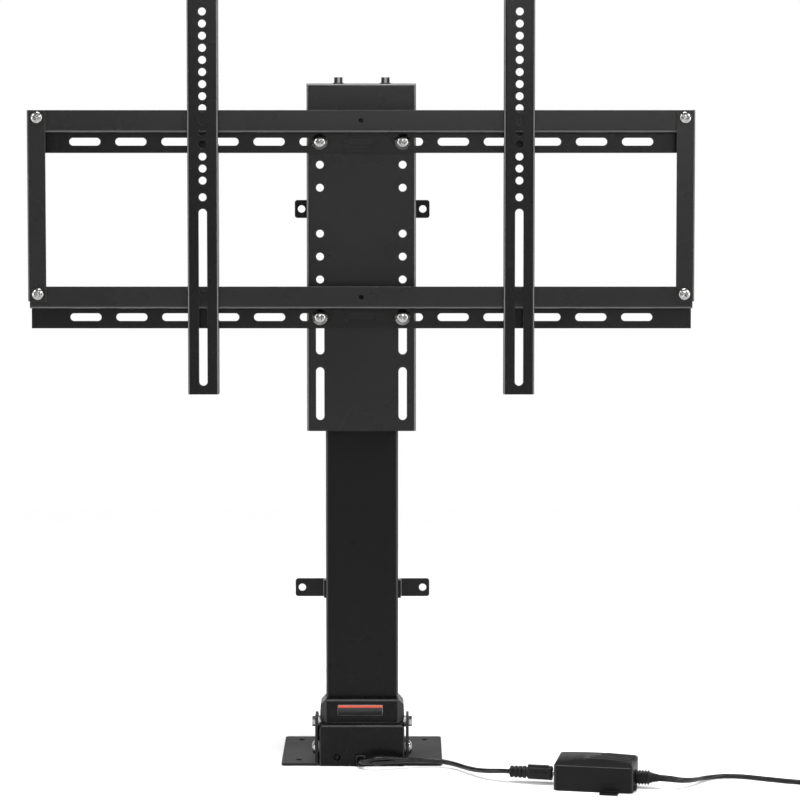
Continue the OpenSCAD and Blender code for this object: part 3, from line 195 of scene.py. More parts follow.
def moulded(name, dark, light, roughness, grain=2300, depth=0.25, gloss=0.4, worn=0.0, edgeHighlight=None):
    mat, tree, shader, where = graph(name)
    cloud = noise(tree, where, 24, 4, 0.55)
    face = ramp(tree, cloud, [(0.32, dark), (0.68, light)])
    # bends and corners get a painted highlight, paler than the face
    tree.links.new(paintedEdgeHighlight(tree, face, *edgeHighlight) if edgeHighlight else face, shader.inputs["Base Color"])
    rub = noise(tree, where, 70, 5, 0.7)
    tree.links.new(spanned(tree, rub, *roughness), shader.inputs["Roughness"])
    shader.inputs["Specular IOR Level"].default_value = gloss
    cells = tree.nodes.new("ShaderNodeTexVoronoi")
    cells.inputs["Scale"].default_value = grain
    tree.links.new(where, cells.inputs["Vector"])
    swell = noise(tree, where, 120, 3)
    bump(tree, shader, [(cells.outputs["Distance"], depth, 0.00006), (swell, 0.05, 0.0003)], worn)
    return mat


def castAlloy(name):
    mat, tree, shader, where = graph(name)
    shader.inputs["Metallic"].default_value = 0.85
    cloud = noise(tree, where, 60, 5, 0.7)
    face = ramp(tree, cloud, [(0.3, (0.33, 0.33, 0.34)), (0.7, (0.5, 0.5, 0.5))])
    tree.links.new(face, shader.inputs["Base Color"])
    tree.links.new(spanned(tree, noise(tree, where, 500, 4), 0.42, 0.68), shader.inputs["Roughness"])
    bump(tree, shader, [(noise(tree, where, 900, 5, 0.7), 0.35, 0.00012), (cloud, 0.12, 0.0004)])
    return mat


def striped(name, low, high, axis, period, roughness, metallic):
    mat, tree, shader, where = graph(name)
    shader.inputs["Metallic"].default_value = metallic
    waves = tree.nodes.new("ShaderNodeTexWave")
    waves.bands_direction = axis
    waves.inputs["Scale"].default_value = 2 * math.pi / (20 * period)  # at 1 a wave is pi / 10 long
    waves.inputs["Distortion"].default_value = 0.3
    waves.inputs["Detail Scale"].default_value = 400
    tree.links.new(where, waves.inputs["Vector"])
    tree.links.new(ramp(tree, waves.outputs["Fac"], [(0.2, low), (0.8, high)]), shader.inputs["Base Color"])
    tree.links.new(spanned(tree, noise(tree, where, 300, 3), *roughness), shader.inputs["Roughness"])
    bump(tree, shader, [(waves.outputs["Fac"], 0.4, 0.0001)])
    return mat


def circuitBoard(name):
    mat, tree, shader, where = graph(name)
    bricks = tree.nodes.new("ShaderNodeTexBrick")
    bricks.inputs["Color1"].default_value = (0.012, 0.09, 0.035, 1)
    bricks.inputs["Color2"].default_value = (0.016, 0.13, 0.05, 1)
    bricks.inputs["Mortar"].default_value = (0.03, 0.2, 0.08, 1)
    bricks.inputs["Scale"].default_value = 160
    bricks.inputs["Mortar Size"].default_value = 0.03
    tree.links.new(where, bricks.inputs["Vector"])
    tree.links.new(bricks.outputs["Color"], shader.inputs["Base Color"])
    tree.links.new(spanned(tree, noise(tree, where, 90, 4), 0.25, 0.45), shader.inputs["Roughness"])
    bump(tree, shader, [(bricks.outputs["Fac"], 0.3, 0.00005)])
    return mat


def plateLabel(name, low, high):
    rim, bandTall = 0.5 * mm, 3.1 * mm
    mat, tree, shader, where = graph(name)
    split = tree.nodes.new("ShaderNodeSeparateXYZ")
    tree.links.new(where, split.inputs["Vector"])
    x, z = split.outputs["X"], split.outputs["Z"]
    inside = 1.0
    for kind, value, edge in (
        ("GREATER_THAN", x, low.x + rim),
        ("LESS_THAN", x, high.x - rim),
        ("GREATER_THAN", z, low.z + rim),
        ("LESS_THAN", z, high.z - rim),
    ):
        inside = maths(tree, "MULTIPLY", inside, maths(tree, kind, value, edge))
    ink = noise(tree, where, 900, 4, 0.7)
    orange = ramp(tree, ink, [(0.3, (0.33, 0.045, 0.026)), (0.7, (0.43, 0.07, 0.038))])
    field = ramp(tree, ink, [(0.3, (0.012, 0.012, 0.013)), (0.7, (0.022, 0.022, 0.023))])
    border = ramp(tree, ink, [(0.3, (0.07, 0.07, 0.072)), (0.7, (0.12, 0.12, 0.123))])
    face = blended(tree, maths(tree, "GREATER_THAN", z, high.z - bandTall), field, orange)
    tree.links.new(blended(tree, inside, border, face), shader.inputs["Base Color"])
    tree.links.new(spanned(tree, noise(tree, where, 60, 3), 0.38, 0.5), shader.inputs["Roughness"])
    shader.inputs["Specular IOR Level"].default_value = 0.2
    bump(tree, shader, [(noise(tree, where, 1800, 2), 0.1, 0.00004)])
    return mat


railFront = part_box("upper_rail")[0].y
# painted shade on the rails' recessed strip, from 1.5 to 3.5 mm behind the band's front
railRecessShade = (railFront + 1.5 * mm, railFront + 3.5 * mm)
# the last three-number tuple in an entry sets its painted edge highlight: the paler tone, then where on the
# bend it starts and ends
finishes = {
    "black_steel": powderCoat("black_steel", 0.0036, 0.0058, (0.24, 0.3), 0.14),
    "grey_black_steel": powderCoat("grey_black_steel", 0.0062, 0.0092, (0.25, 0.31), 0.18),
    # lit and shaded copies of the black coat: painted shade on the column, painted light on the rails, end
    # pieces and base plate
    "shaded_column_steel": powderCoat("shaded_column_steel", 0.0025, 0.004, (0.26, 0.33), 0.1, (0.04, 0.06, 0.22)),
    "lit_rail_steel": powderCoat("lit_rail_steel", 0.008, 0.0108, (0.25, 0.31), 0.2, (0.07, 0.04, 0.16), railRecessShade),
    "lit_plate_steel": powderCoat("lit_plate_steel", 0.007, 0.011, (0.42, 0.52), 0.12, (0.03, 0.06, 0.22)),
    "zinc_steel": metal("zinc_steel", (0.2, 0.205, 0.21), (0.34, 0.335, 0.32), (0.16, 0.28)),
    "black_screw": metal("black_screw", (0.03, 0.03, 0.032), (0.06, 0.06, 0.063), (0.3, 0.46)),
    "bearing_steel": metal(
        "bearing_steel", (0.55, 0.55, 0.55), (0.68, 0.68, 0.67), (0.14, 0.26), (0.1, 1, 1)
    ),
    "cast_alloy": castAlloy("cast_alloy"),
    "bronze": metal("bronze", (0.45, 0.27, 0.1), (0.62, 0.4, 0.17), (0.25, 0.42)),
    "motor_steel": metal(
        "motor_steel", (0.36, 0.36, 0.37), (0.47, 0.47, 0.46), (0.28, 0.42), (1, 0.08, 1)
    ),
    "laminations": striped(
        "laminations", (0.24, 0.1, 0.04), (0.42, 0.2, 0.09), "Y", 0.7 * mm, (0.35, 0.55), 0.7
    ),
    "magnet": moulded("magnet", (0.045, 0.044, 0.043), (0.08, 0.078, 0.075), (0.5, 0.7), 1500, 0.4),
    "cover_plastic": moulded(
        "cover_plastic", 0.0024, 0.0038, (0.25, 0.31), 2300, 0.3, 0.1, 2.4 * mm, (0.032, 0.03, 0.16)
    ),
    "glide_plastic": moulded(
        "glide_plastic", (0.66, 0.64, 0.57), (0.76, 0.74, 0.68), (0.35, 0.5), 1800, 0.12
    ),
    "bush_plastic": moulded("bush_plastic", 0.009, 0.014, (0.35, 0.5), 2000, 0.16),
    "plate_label": plateLabel("plate_label", *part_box("blank_label")),
    "box_plastic": moulded(
        "box_plastic", 0.0026, 0.0044, (0.42, 0.52), 2600, 0.22, 0.12, 1.2 * mm, (0.05, 0.2, 0.28)
    ),
    "circuit": circuitBoard("circuit"),
    "components": moulded("components", (0.03, 0.03, 0.035), (0.07, 0.07, 0.08), (0.3, 0.5), 900, 0.2),
    "cord_sheath": moulded("cord_sheath", 0.003, 0.0055, (0.24, 0.32), 1500, 0.12, 0.24),
    "relief_rubber": moulded("relief_rubber", 0.0028, 0.005, (0.3, 0.4), 1900, 0.2, 0.18),
}
print("finishes made")


def finished(name, bm, slot, body, replaces=(), smooth=34):
    bm.normal_update()
    bmesh.ops.recalc_face_normals(bm, faces=bm.faces)
    mesh = bpy.data.meshes.new(name)
    bm.to_mesh(mesh)
    bm.free()
    mesh.materials.append(finishes[slot])
    mesh.shade_smooth()
    mesh.set_sharp_from_angle(angle=math.radians(smooth))
    piece = bpy.data.objects.new(name, mesh)
    bpy.context.scene.collection.objects.link(piece)
    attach(piece, body)
    if replaces:
        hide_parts(*replaces)
    return piece


def curveThrough(points, per):
    points = [Vector(p) for p in points]
    line = []
    for i in range(len(points) - 1):
        a, b, c, d = points[max(i - 1, 0)], points[i], points[i + 1], points[min(i + 2, len(points) - 1)]
        for k in range(per):
            t = k / per
            line.append(
                0.5
                * (
                    2 * b
                    + (c - a) * t
                    + (2 * a - 5 * b + 4 * c - d) * t * t
                    + (3 * b - a - 3 * c + d) * t**3
                )
            )
    return line + [points[-1]]


def lengthOf(line):
    return sum((b - a).length for a, b in zip(line, line[1:]))


def eased(keys, at):
    if at <= keys[0][0]:
        return keys[0][1:]
    for (a, *low), (b, *high) in zip(keys, keys[1:]):
        if at <= b:
            t = (at - a) / (b - a)
            t = t * t * (3 - 2 * t)
            return [x + (y - x) * t for x, y in zip(low, high)]
    return keys[-1][1:]


# flat twin flex, whose two cores show as rounded strands
cordFacts = {"core": 2.25 * mm, "sides": 14, "solid": 3 * mm, "lies": 3 * mm, "lifted": 5 * mm}


def resting(line, keys):
    lowered = []
    travelled = 0
    for i, p in enumerate(line):
        if i:
            travelled += (p - line[i - 1]).length
        angle, half = eased(keys, travelled)
        tall = cordFacts["core"] + half * mm * abs(math.sin(math.radians(angle)))
        share = (cordFacts["lifted"] - p.z) / (cordFacts["lifted"] - cordFacts["lies"])
        drop = (cordFacts["solid"] - tall) * min(max(share, 0), 1)
        lowered.append((p - Vector((0, 0, max(drop, 0))), angle, half * mm))
    return lowered


def twinCord(name, stations, replaces, body="base"):
    bm = bmesh.new()
    count = len(stations)
    strands = ([], [])
    for i, (p, angle, half) in enumerate(stations):
        ahead = (stations[min(i + 1, count - 1)][0] - stations[max(i - 1, 0)][0]).normalized()
        side = ahead.cross(Vector((0, 0, 1))).normalized()
        up = side.cross(ahead)
        across = side * math.cos(math.radians(angle)) + up * math.sin(math.radians(angle))
        through = ahead.cross(across)
        for loops, sign in zip(strands, (-1, 1)):
            centre = p + across * half * sign
            loops.append(
                [
                    centre + cordFacts["core"] * (across * math.cos(a) + through * math.sin(a))
                    for a in (2 * math.pi * k / cordFacts["sides"] for k in range(cordFacts["sides"]))
                ]
            )
    for loops in strands:
        made = [[bm.verts.new(p) for p in loop] for loop in loops]
        for a, b in zip(made, made[1:]):
            for k in range(len(a)):
                m = (k + 1) % len(a)
                bm.faces.new((a[k], a[m], b[m], b[k]))
        bm.faces.new(list(reversed(made[0])))
        bm.faces.new(made[-1])
    return finished(name, bm, "cord_sheath", body, replaces, 60)


boxFacts = {"turn": -10.6, "corner": (205.7, -175), "long": 85, "deep": 57, "jackHigh": 12}
socketFacts = {"connector": 47, "pinGap": 4.4, "relief": 26}
boxTurn = math.radians(boxFacts["turn"])
boxAlong = Vector((math.cos(boxTurn), math.sin(boxTurn), 0))
boxBack = Vector((-math.sin(boxTurn), math.cos(boxTurn), 0))
boxCorner = Vector((*boxFacts["corner"], 0)) * mm
jack = boxCorner + boxBack * boxFacts["deep"] / 2 * mm + Vector((0, 0, boxFacts["jackHigh"])) * mm
connectorStart = jack - boxAlong * (socketFacts["pinGap"] + socketFacts["connector"]) * mm
reliefStart = jack + boxAlong * boxFacts["long"] * mm
reliefEnd = reliefStart + boxAlong * socketFacts["relief"] * mm

leadRoute = [
    (-1.5, -62.4, 7), (-1.5, -69.4, 7), (-1.5, -75.5, 7.4), (1, -81, 8.4), (8, -85.5, 9.8), (18, -86, 11),
    (30, -83, 11), (43, -79, 10), (57, -75, 9), (72, -72.5, 8), (86, -72.5, 7), (98.5, -77.5, 6),
    (108.5, -87.5, 5.5), (117, -100.5, 6), (126.5, -114.5, 7.5), (137, -126.5, 9.6), (148.5, -134.5, 11.5),
]
leadLine = curveThrough([Vector(p) * mm for p in leadRoute] + [connectorStart], 4)
leadKeys = [
    (0, 0, 0.75), (0.012, 20, 0.75), (0.026, 90, 1.3), (0.036, 90, 2.3), (0.048, 88, 2.2), (0.066, 80, 1.2),
    (0.09, 55, 0.75), (0.14, 48, 0.75), (0.21, 40, 0.75),
]
leadStations = resting(leadLine, leadKeys)
motorLead = twinCord("motor_lead_flex", leadStations, ["motor_lead"])

mainsRoute = [
    (331, -169.4, 11.4), (343, -165, 9), (353, -157, 7), (361, -146.5, 5.2), (369.5, -135.5, 4),
    (380, -126.5, 3.2), (393, -121.5, 3), (407, -121.5, 3), (421, -126, 3), (435, -132.5, 3), (449, -139, 3),
    (463, -145, 3), (478, -149.5, 3.1), (494, -152.2, 3.5), (511, -153, 4),
]
coil = {"at": (526, -110), "radius": 43, "turns": 2.75, "step": 6.65, "low": 4, "rings": 48}


def coilPoint(turn):
    a = math.radians(-90 + 360 * turn)
    x = min(max(turn - coil["turns"], 0), 0.5)
    out = max(turn - coil["turns"] - 0.5, 0)
    r = coil["radius"] - coil["step"] * (min(turn, coil["turns"]) + x - 2 * x * x - out)
    z = coil["low"] + coil["step"] * 4 * x * x * (3 - 4 * x)
    return Vector((coil["at"][0] + r * math.cos(a), coil["at"][1] + r * math.sin(a), z))


coilTurns = 2 * coil["turns"] + 0.5
coilLine = [coilPoint(i / coil["rings"]) * mm for i in range(int(coilTurns * coil["rings"]) + 1)]
mainsLine = curveThrough([reliefEnd] + [Vector(p) * mm for p in mainsRoute] + [coilLine[0]], 4)
tail = [coilLine[-1] + Vector(p) * mm for p in ((8, 0, -0.6), (15, 0, -1.8), (21, 0, -2.8), (26, 0, -3.15))]
tailLine = curveThrough([coilLine[-1]] + tail, 3)
mainsWhole = mainsLine[:-1] + coilLine[:-1] + tailLine
mainsKeys = [
    (0, 90, 1.5), (0.008, 90, 1.25), (0.03, 70, 0.75), (0.055, 28, 0.75), (0.12, 30, 0.75), (0.17, 40, 0.75),
    (0.23, 45, 0.75), (1.46, 45, 0.75), (1.5, 5, 0.75),
]
mainsStations = resting(mainsWhole, mainsKeys)
mainsCord = twinCord("mains_flex", mainsStations, ["mains_cord", "mains_coil"])
print("cords", round(lengthOf(leadLine), 4), round(lengthOf(mainsWhole), 4))


def atAxis(start, along):
    side = Vector((0, 0, 1)).cross(along).normalized()
    return Matrix((
        (along.x, side.x, 0, start.x),
        (along.y, side.y, 0, start.y),
        (along.z, side.z, 1, start.z),
        (0, 0, 0, 1),
    ))


def loft(bm, place, stations, sides=40):
    # a tube is drawn out ring by ring and each ring shaped: x, half width, half height, squareness, lift
    halfStep = Matrix.Rotation(math.pi / sides, 4, "Z")
    made = bmesh.ops.create_circle(bm, cap_ends=True, radius=1, segments=sides, matrix=halfStep)
    end = made["verts"][0].link_faces[0]
    tube = set(made["verts"])
    for _ in stations[1:]:
        drawn = bmesh.ops.extrude_face_region(bm, geom=[end, *end.edges, *end.verts])["geom"]
        end = next(g for g in drawn if isinstance(g, bmesh.types.BMFace))
        bmesh.ops.translate(bm, verts=list(end.verts), vec=(0, 0, 1))
        tube |= set(end.verts)
    for v in tube:
        c, s = v.co.x, v.co.y
        x, halfWide, halfTall, power, lift = stations[round(v.co.z)]
        y = halfWide * math.copysign(abs(c) ** (2 / power), c)
        z = halfTall * math.copysign(abs(s) ** (2 / power), s) + lift
        v.co = place @ (Vector((x, y, z)) * mm)


def ribbed(start, end, count, root, tip, share, power, soft=0.25, lift=0):
    stations = []
    pitch = (end - start) / count
    for k in range(count):
        t = (k + 0.5) / count
        low = root[0] + (root[1] - root[0]) * t, root[2] + (root[3] - root[2]) * t
        high = tip[0] + (tip[1] - tip[0]) * t, tip[2] + (tip[3] - tip[2]) * t
        a = start + pitch * k
        b = a + pitch * share
        stations += [
            (a, *low, power, lift),
            (a + 0.05, high[0] - soft, high[1] - soft, power, lift),
            (a + soft, *high, power, lift),
            (b - soft, *high, power, lift),
            (b - 0.05, high[0] - soft, high[1] - soft, power, lift),
            (b, *low, power, lift),
        ]
    return stations


def slab(bm, place, low, high, soft, segments=3):
    made = bmesh.ops.create_cube(bm, size=1)
    bmesh.ops.scale(bm, verts=made["verts"], vec=Vector(high) - Vector(low))
    bmesh.ops.translate(bm, verts=made["verts"], vec=(Vector(high) + Vector(low)) / 2)
    edges = list({e for v in made["verts"] for e in v.link_edges})
    rounding = {"offset": soft, "segments": segments, "profile": 0.5, "affect": "EDGES", "material": -1}
    shaped = bmesh.ops.bevel(bm, geom=edges, clamp_overlap=True, **rounding)
    verts = {v for f in shaped["faces"] for v in f.verts} | {v for v in made["verts"] if v.is_valid}
    bmesh.ops.transform(bm, verts=list(verts), matrix=place @ Matrix.Scale(mm, 4))


connectorPlace = atAxis(connectorStart, boxAlong)
connectorShape = {
    "grip": [(0, 3.6, 3.6, 2, 0), (0.4, 4.6, 4.6, 2, 0)]
    + ribbed(1.0, 19.4, 4, (4.9, 5.4, 4.9, 5.4), (6.0, 6.5, 6.0, 6.5), 0.72, 2.6)
    + [(19.6, 5.1, 5.1, 2.3, 0), (20.4, 5.2, 5.2, 2.3, 0)],
    "body": [
        (19.6, 4.9, 4.9, 2.6, 0), (19.9, 6.1, 6.1, 2.7, 0), (20.6, 6.6, 6.8, 2.8, 0), (24, 6.75, 7.1, 2.8, 0),
        (42.5, 6.75, 7.2, 2.8, 0), (43.2, 6.9, 7.35, 2.8, 0), (45.8, 6.9, 7.35, 2.8, 0),
        (46.7, 6.5, 6.8, 2.7, 0), (47, 5.6, 5.6, 2.6, 0), (47, 3.4, 3.4, 2, 0), (46.2, 3.2, 3.2, 2, 0),
    ],
    "pin": [
        (45.5, 2.75, 2.75, 2, 0), (49.4, 2.75, 2.75, 2, 0), (49.6, 2.55, 2.55, 2, 0), (50, 2.55, 2.55, 2, 0),
        (50.2, 2.75, 2.75, 2, 0), (56.4, 2.75, 2.75, 2, 0), (57.2, 2.3, 2.3, 2, 0), (57.2, 1.2, 1.2, 2, 0),
    ],
    "ridges": 6, "firstRidge": 26, "ridgePitch": 2.6, "ridgeLong": 1.3, "ridgeTall": 3.4, "ridgeOut": 0.35,
}
bm = bmesh.new()
loft(bm, connectorPlace, connectorShape["grip"])
loft(bm, connectorPlace, connectorShape["body"])
slab(bm, connectorPlace, (19.9, -2.6, 4), (42.9, 2.6, 8.25), 0.7)
for side in (-6.75, 6.75):
    for k in range(connectorShape["ridges"]):
        x = connectorShape["firstRidge"] + k * connectorShape["ridgePitch"]
        out, tall = connectorShape["ridgeOut"], connectorShape["ridgeTall"]
        low, high = (x, side - out, -tall), (x + connectorShape["ridgeLong"], side + out, tall)
        slab(bm, connectorPlace, low, high, 0.3, 2)
connector = finished("lead_connector_moulding", bm, "relief_rubber", "base", ["lead_connector"], 40)
bm = bmesh.new()
loft(bm, connectorPlace, connectorShape["pin"])
pin = finished("lead_connector_pin", bm, "zinc_steel", "base", smooth=30)

reliefPlace = atAxis(reliefStart, boxAlong)
reliefShape = {
    "flange": [
        (-6, 4.5, 4.5, 2, 0), (-6, 5.9, 5.9, 2, 0), (-2.2, 5.9, 5.9, 2, 0), (-2.1, 4.5, 4.5, 2, 0),
        (0.2, 4.5, 4.5, 2, 0),
    ],
    "sleeve": [(0, 5.2, 6.2, 3.2, 0)]
    + ribbed(0.3, 16, 5, (5.4, 5.4, 6.4, 6.4), (6.3, 6.2, 7.6, 7.5), 0.56, 3.2, 0.3)
    + [(16.2, 4.8, 5.6, 2.8, 0)]
    + ribbed(17.2, 25.2, 3, (4.4, 3.1, 5.2, 3.6), (4.9, 3.6, 5.9, 4.4), 0.4, 2.4, 0.25)
    + [(25.8, 2.6, 3.5, 2.2, 0), (26, 1.6, 2.6, 2, 0)],
}
bm = bmesh.new()
loft(bm, reliefPlace, reliefShape["flange"])
loft(bm, reliefPlace, reliefShape["sleeve"])
finished("mains_relief_moulding", bm, "relief_rubber", "base", ["mains_relief"], 40)

plugShape = {
    "neck": [(0, 2.9, 2.9, 2, 0), (0.3, 3.5, 3.5, 2, 0)]
    + ribbed(1.0, 15.4, 6, (3.3, 4.6, 3.3, 4.2), (4.4, 6.4, 4.2, 5.2), 0.58, 2.4)
    + [(16.2, 5.2, 4.6, 2.4, 0)],
    "body": [
        (15.6, 4.6, 4.2, 2.6, 0), (16.2, 8.2, 5.8, 3, 0), (18, 10.2, 6.7, 3.4, 0), (21, 11.5, 7.3, 3.8, 0),
        (26, 12, 7.5, 4, 0), (31, 11.3, 7.2, 4, 0), (37, 10.9, 7.0, 4.2, 0), (43, 11.3, 7.2, 4.4, 0),
        (47.5, 11.9, 7.4, 4.6, 0), (49.3, 11.8, 7.3, 4.6, 0), (50, 11.1, 6.6, 4.4, 0), (50, 6, 3, 3, 0),
    ],
    "ridges": 5, "firstRidge": 30, "ridgePitch": 2.9, "ridgeLong": 1.4, "ridgeTall": 4.2, "ridgeOut": 0.75,
    "out": 26, "high": 7.5,
}
plugAt = coilLine[-1] + Vector((plugShape["out"], 0, 0)) * mm
plugAt.z = plugShape["high"] * mm
plugPlace = atAxis(plugAt, Vector((1, 0, 0)))
bm = bmesh.new()
loft(bm, plugPlace, plugShape["neck"])
loft(bm, plugPlace, plugShape["body"], 56)
for side in (-11.1, 11.1):
    for k in range(plugShape["ridges"]):
        x = plugShape["firstRidge"] + k * plugShape["ridgePitch"]
        out, tall = plugShape["ridgeOut"], plugShape["ridgeTall"]
        low, high = (x, side - out, -tall), (x + plugShape["ridgeLong"], side + out, tall)
        slab(bm, plugPlace, low, high, 0.35, 2)
plug = finished("mains_plug_moulding", bm, "relief_rubber", "base", ["mains_plug"], 40)

bladeShape = {
    "apart": 6.35, "sides": 24, "hole": {"at": 63, "radius": 1.6, "sides": 24},
    "drawn": [(x, thick, tall, 2 / 0.3, 0) for x, thick, tall in (
        (49.5, 0.75, 3.1), (60.6, 0.75, 3.1), (65.4, 0.75, 3.1), (66.7, 0.4125, 2.232), (67, 0.3, 1.86)
    )],
}
bm = bmesh.new()
for side in (-1, 1):
    place = plugPlace @ Matrix.Translation((0, side * bladeShape["apart"] * mm, 0))
    loft(bm, place, bladeShape["drawn"], bladeShape["sides"])
    bore = []
    for face in (-0.75, 0.75):  # the tip's hole is a ring in each broad side, the two joined through
        centre = place @ (Vector((bladeShape["hole"]["at"], face, 0)) * mm)
        window = min(bm.faces, key=lambda f: (f.calc_center_median() - centre).length)
        border = list(window.edges)
        bmesh.ops.delete(bm, geom=[window], context="FACES_ONLY")
        turned = Matrix.Translation(centre) @ Matrix.Rotation(math.pi / 2, 4, "X")
        ring = bmesh.ops.create_circle(
            bm, radius=bladeShape["hole"]["radius"] * mm, segments=bladeShape["hole"]["sides"], matrix=turned
        )["verts"]
        rim = list({e for v in ring for e in v.link_edges})
        bmesh.ops.bridge_loops(bm, edges=border + rim)
        bore += rim
    bmesh.ops.bridge_loops(bm, edges=bore)
blades = finished("mains_plug_blades", bm, "zinc_steel", "base", smooth=30)

# push-in caps over the front cover's two screws, each a button with a narrow gap around it
capShape = {
    "across": 27.5, "high": 10, "inset": 0.9, "thick": 3.2, "sides": 36,
    "turned": [(x, r, r, 2, 0) for x, r in ((0, 3.7), (0.4, 3.7), (0.4, 2.8), (2.85, 2.8), (3.15, 1.7))],
}
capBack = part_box("front_cover")[0].y + (capShape["inset"] + capShape["thick"]) * mm
bm = bmesh.new()
for side in (-1, 1):
    at = Vector((side * capShape["across"] * mm, capBack, capShape["high"] * mm))
    loft(bm, atAxis(at, Vector((0, -1, 0))), capShape["turned"], capShape["sides"])
finished("cover_screw_caps", bm, "box_plastic", "base", smooth=30)

print("cord pieces made")

# CAD nodes get softened edges, in millimetres, and their finishes
softEdges = {
    "base_plate": 0.45, "outer_column": 0.5, "wall_ears": 0.4, "front_cover": 1.1, "rear_cover": 1.1,
    "head_plate": 0.4, "upper_rail": 0.4, "lower_rail": 0.4, "end_piece_left": 0.35, "end_piece_right": 0.35,
    "arm_left": 0.4, "arm_right": 0.4, "control_box_lower": 0.7, "control_box_upper": 0.45, "coil_tie": 0.3,
    "gearbox_lower": 0.4, "gearbox_upper": 0.4, "guide_bush": 0.4, "cheek_bolts": 0.25, "rail_nuts": 0.2,
    "motor_flange": 0.4, "motor_can": 0.5, "motor_end_cap": 0.4, "inner_column": 0.3, "glide_shoe": 0.4,
}
ownFinish = {  # steel pieces with lit or shaded copies of the black coat: painted light makes the base plate, rails and end pieces paler, painted shade makes the column darker; the plate's copy is also rougher
    "base_plate": "lit_plate_steel", "outer_column": "shaded_column_steel", "upper_rail": "lit_rail_steel",
    "lower_rail": "lit_rail_steel", "end_piece_left": "lit_rail_steel", "end_piece_right": "lit_rail_steel",
}
for name, piece in nodes.items():
    mesh = piece.data
    for k in range(len(mesh.materials)):
        mesh.materials[k] = finishes[ownFinish.get(name, mesh.materials[k].name.split(".")[0])]
    if mesh.has_custom_normals:
        bpy.context.view_layer.objects.active = piece
        piece.select_set(True)
        bpy.ops.mesh.customdata_custom_splitnormals_clear()
        piece.select_set(False)
    weld = piece.modifiers.new("weld", "WELD")
    weld.merge_threshold = 0.000005
    mesh.shade_smooth()
    if name in softEdges:
        flatten = piece.modifiers.new("flatten", "DECIMATE")
        flatten.decimate_type = "DISSOLVE"
        flatten.angle_limit = math.radians(0.6)
        edge = piece.modifiers.new("edge", "BEVEL")
        edge.width = softEdges[name] * mm
        edge.segments = 2
        edge.limit_method = "ANGLE"
        edge.angle_limit = math.radians(38)
        edge.use_clamp_overlap = True
        edge.harden_normals = False
        edge.miter_outer = "MITER_ARC"
    bpy.context.view_layer.objects.active = piece
    piece.select_set(True)
    bpy.ops.object.shade_auto_smooth(angle=math.radians(34))
    piece.select_set(False)
    if name in softEdges:
        even = piece.modifiers.new("even", "WEIGHTED_NORMAL")
        even.mode = "FACE_AREA"
        even.weight = 90
        even.keep_sharp = True
print("CAD nodes dressed")

# a white bowl around the part, its floor meeting the wall in a wide curve
studioShape = {
    "radius": 8, "cove": 2.6, "coveTurns": range(10, 91, 10), "steps": 96,
    "floorRings": (0, 0.4, 1, 2, 4), "wallRings": (4.4, 6.6),
}
stageMat, tree, shader, where = graph("studio")
tree.links.new(spanned(tree, noise(tree, where, 3, 3), 0.75, 0.85), shader.inputs["Roughness"])
shader.inputs["Specular IOR Level"].default_value = 0.0
rays = tree.nodes.new("ShaderNodeLightPath")
seen = maths(tree, "MAXIMUM", rays.outputs["Is Camera Ray"], rays.outputs["Is Glossy Ray"])
seen = maths(tree, "MAXIMUM", seen, rays.outputs["Is Transmission Ray"])
split = tree.nodes.new("ShaderNodeSeparateXYZ")
tree.links.new(where, split.inputs["Vector"])
behind = maths(tree, "MULTIPLY", seen, spanned(tree, split.outputs["Y"], 0, 1, 0.35, 1.9))
shader.inputs["Emission Color"].default_value = (1, 1, 1, 1)
tree.links.new(behind, shader.inputs["Emission Strength"])
pale = ramp(tree, noise(tree, where, 0.8, 3), [(0.3, 0.93), (0.7, 0.95)])
tree.links.new(blended(tree, behind, pale, 0.0), shader.inputs["Base Color"])
bm = bmesh.new()
flat = studioShape["radius"] - studioShape["cove"]
profile = [(r, 0) for r in (*studioShape["floorRings"], flat)]
for turn in studioShape["coveTurns"]:
    a = math.radians(turn)
    profile.append((flat + studioShape["cove"] * math.sin(a), studioShape["cove"] * (1 - math.cos(a))))
profile += [(studioShape["radius"], z) for z in studioShape["wallRings"]]
line = [bm.verts.new((r, 0, z)) for r, z in profile]
edges = [bm.edges.new(pair) for pair in zip(line, line[1:])]
turning = {"axis": (0, 0, 1), "cent": (0, 0, 0), "angle": 2 * math.pi, "steps": studioShape["steps"]}
bmesh.ops.spin(bm, geom=line + edges, use_merge=True, **turning)
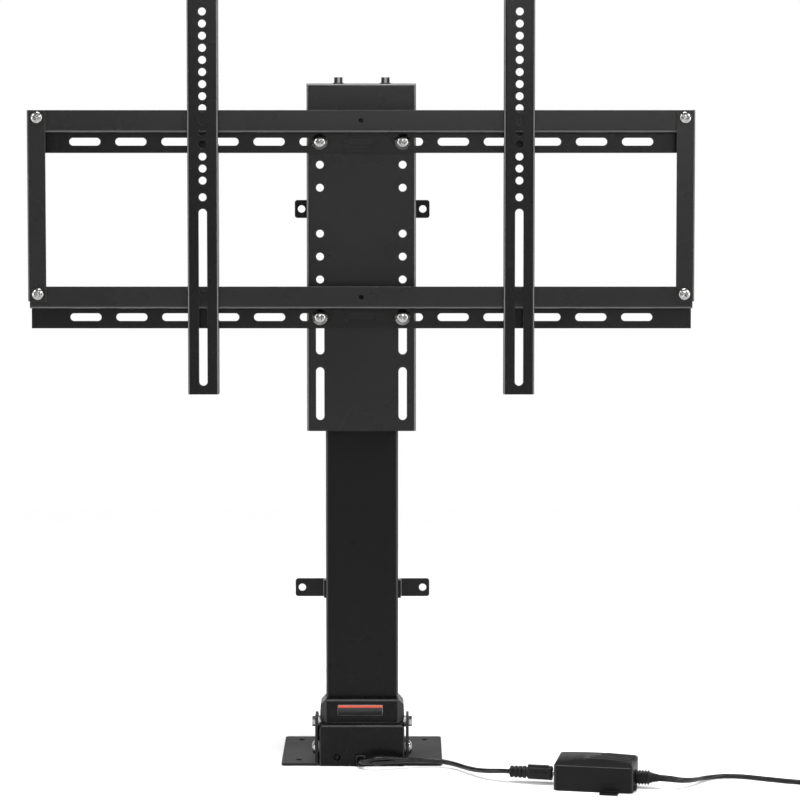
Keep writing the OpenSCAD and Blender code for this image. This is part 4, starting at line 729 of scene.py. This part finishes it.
bmesh.ops.remove_doubles(bm, verts=bm.verts, dist=0.0001)
bmesh.ops.recalc_face_normals(bm, faces=bm.faces)
mesh = bpy.data.meshes.new("studio_floor")
bm.to_mesh(mesh)
bm.free()
mesh.shade_smooth()
mesh.materials.append(stageMat)
floor = bpy.data.objects.new("studio_floor", mesh)
bpy.context.scene.collection.objects.link(floor)

world = bpy.data.worlds.new("studio_air")
world.use_nodes = True
world.node_tree.nodes["Background"].inputs["Color"].default_value = (1, 1, 1, 1)
world.node_tree.nodes["Background"].inputs["Strength"].default_value = 0.14
bpy.context.scene.world = world

lamps = {
    "overhead": {"at": (0.15, -0.45, 3.0), "to": (0, 0, 0.2), "size": (1.3, 0.9), "power": 84},
    "key": {"at": (0.4, -2.95, 1.3), "to": (0, -0.1, 0.6), "size": (1.8, 0.7), "power": 28},
    "front_left": {"at": (-2.3, -2.0, 2.0), "to": (0, 0, 0.4), "size": (1.0, 1.2), "power": 40},
    "front_right": {"at": (2.3, -2.0, 2.0), "to": (0, 0, 0.4), "size": (1.0, 1.2), "power": 48},
    "left": {"at": (-1.9, -1.0, 0.45), "to": (0, 0, 0.1), "size": (0.6, 0.7), "power": 14},
    "right": {"at": (1.9, -1.0, 0.45), "to": (0, 0, 0.1), "size": (0.6, 0.7), "power": 16},
    "back_left": {"at": (-2.2, 2.2, 2.0), "to": (0, 0, 0.5), "size": (1.2, 2.4), "power": 15},
    "back_right": {"at": (2.2, 2.2, 2.0), "to": (0, 0, 0.5), "size": (1.2, 2.4), "power": 15},
}
for name, facts in lamps.items():
    data = bpy.data.lights.new(name, "AREA")
    data.shape = "RECTANGLE"
    data.size, data.size_y = facts["size"]
    data.energy = facts["power"]
    lamp = bpy.data.objects.new(name, data)
    bpy.context.scene.collection.objects.link(lamp)
    lamp.location = facts["at"]
    aim = Vector(facts["to"]) - Vector(facts["at"])
    lamp.rotation_euler = aim.to_track_quat("-Z", "Y").to_euler()
    lamp.visible_camera = False

bpy.context.scene.view_settings.view_transform = "Standard"
print("studio made")
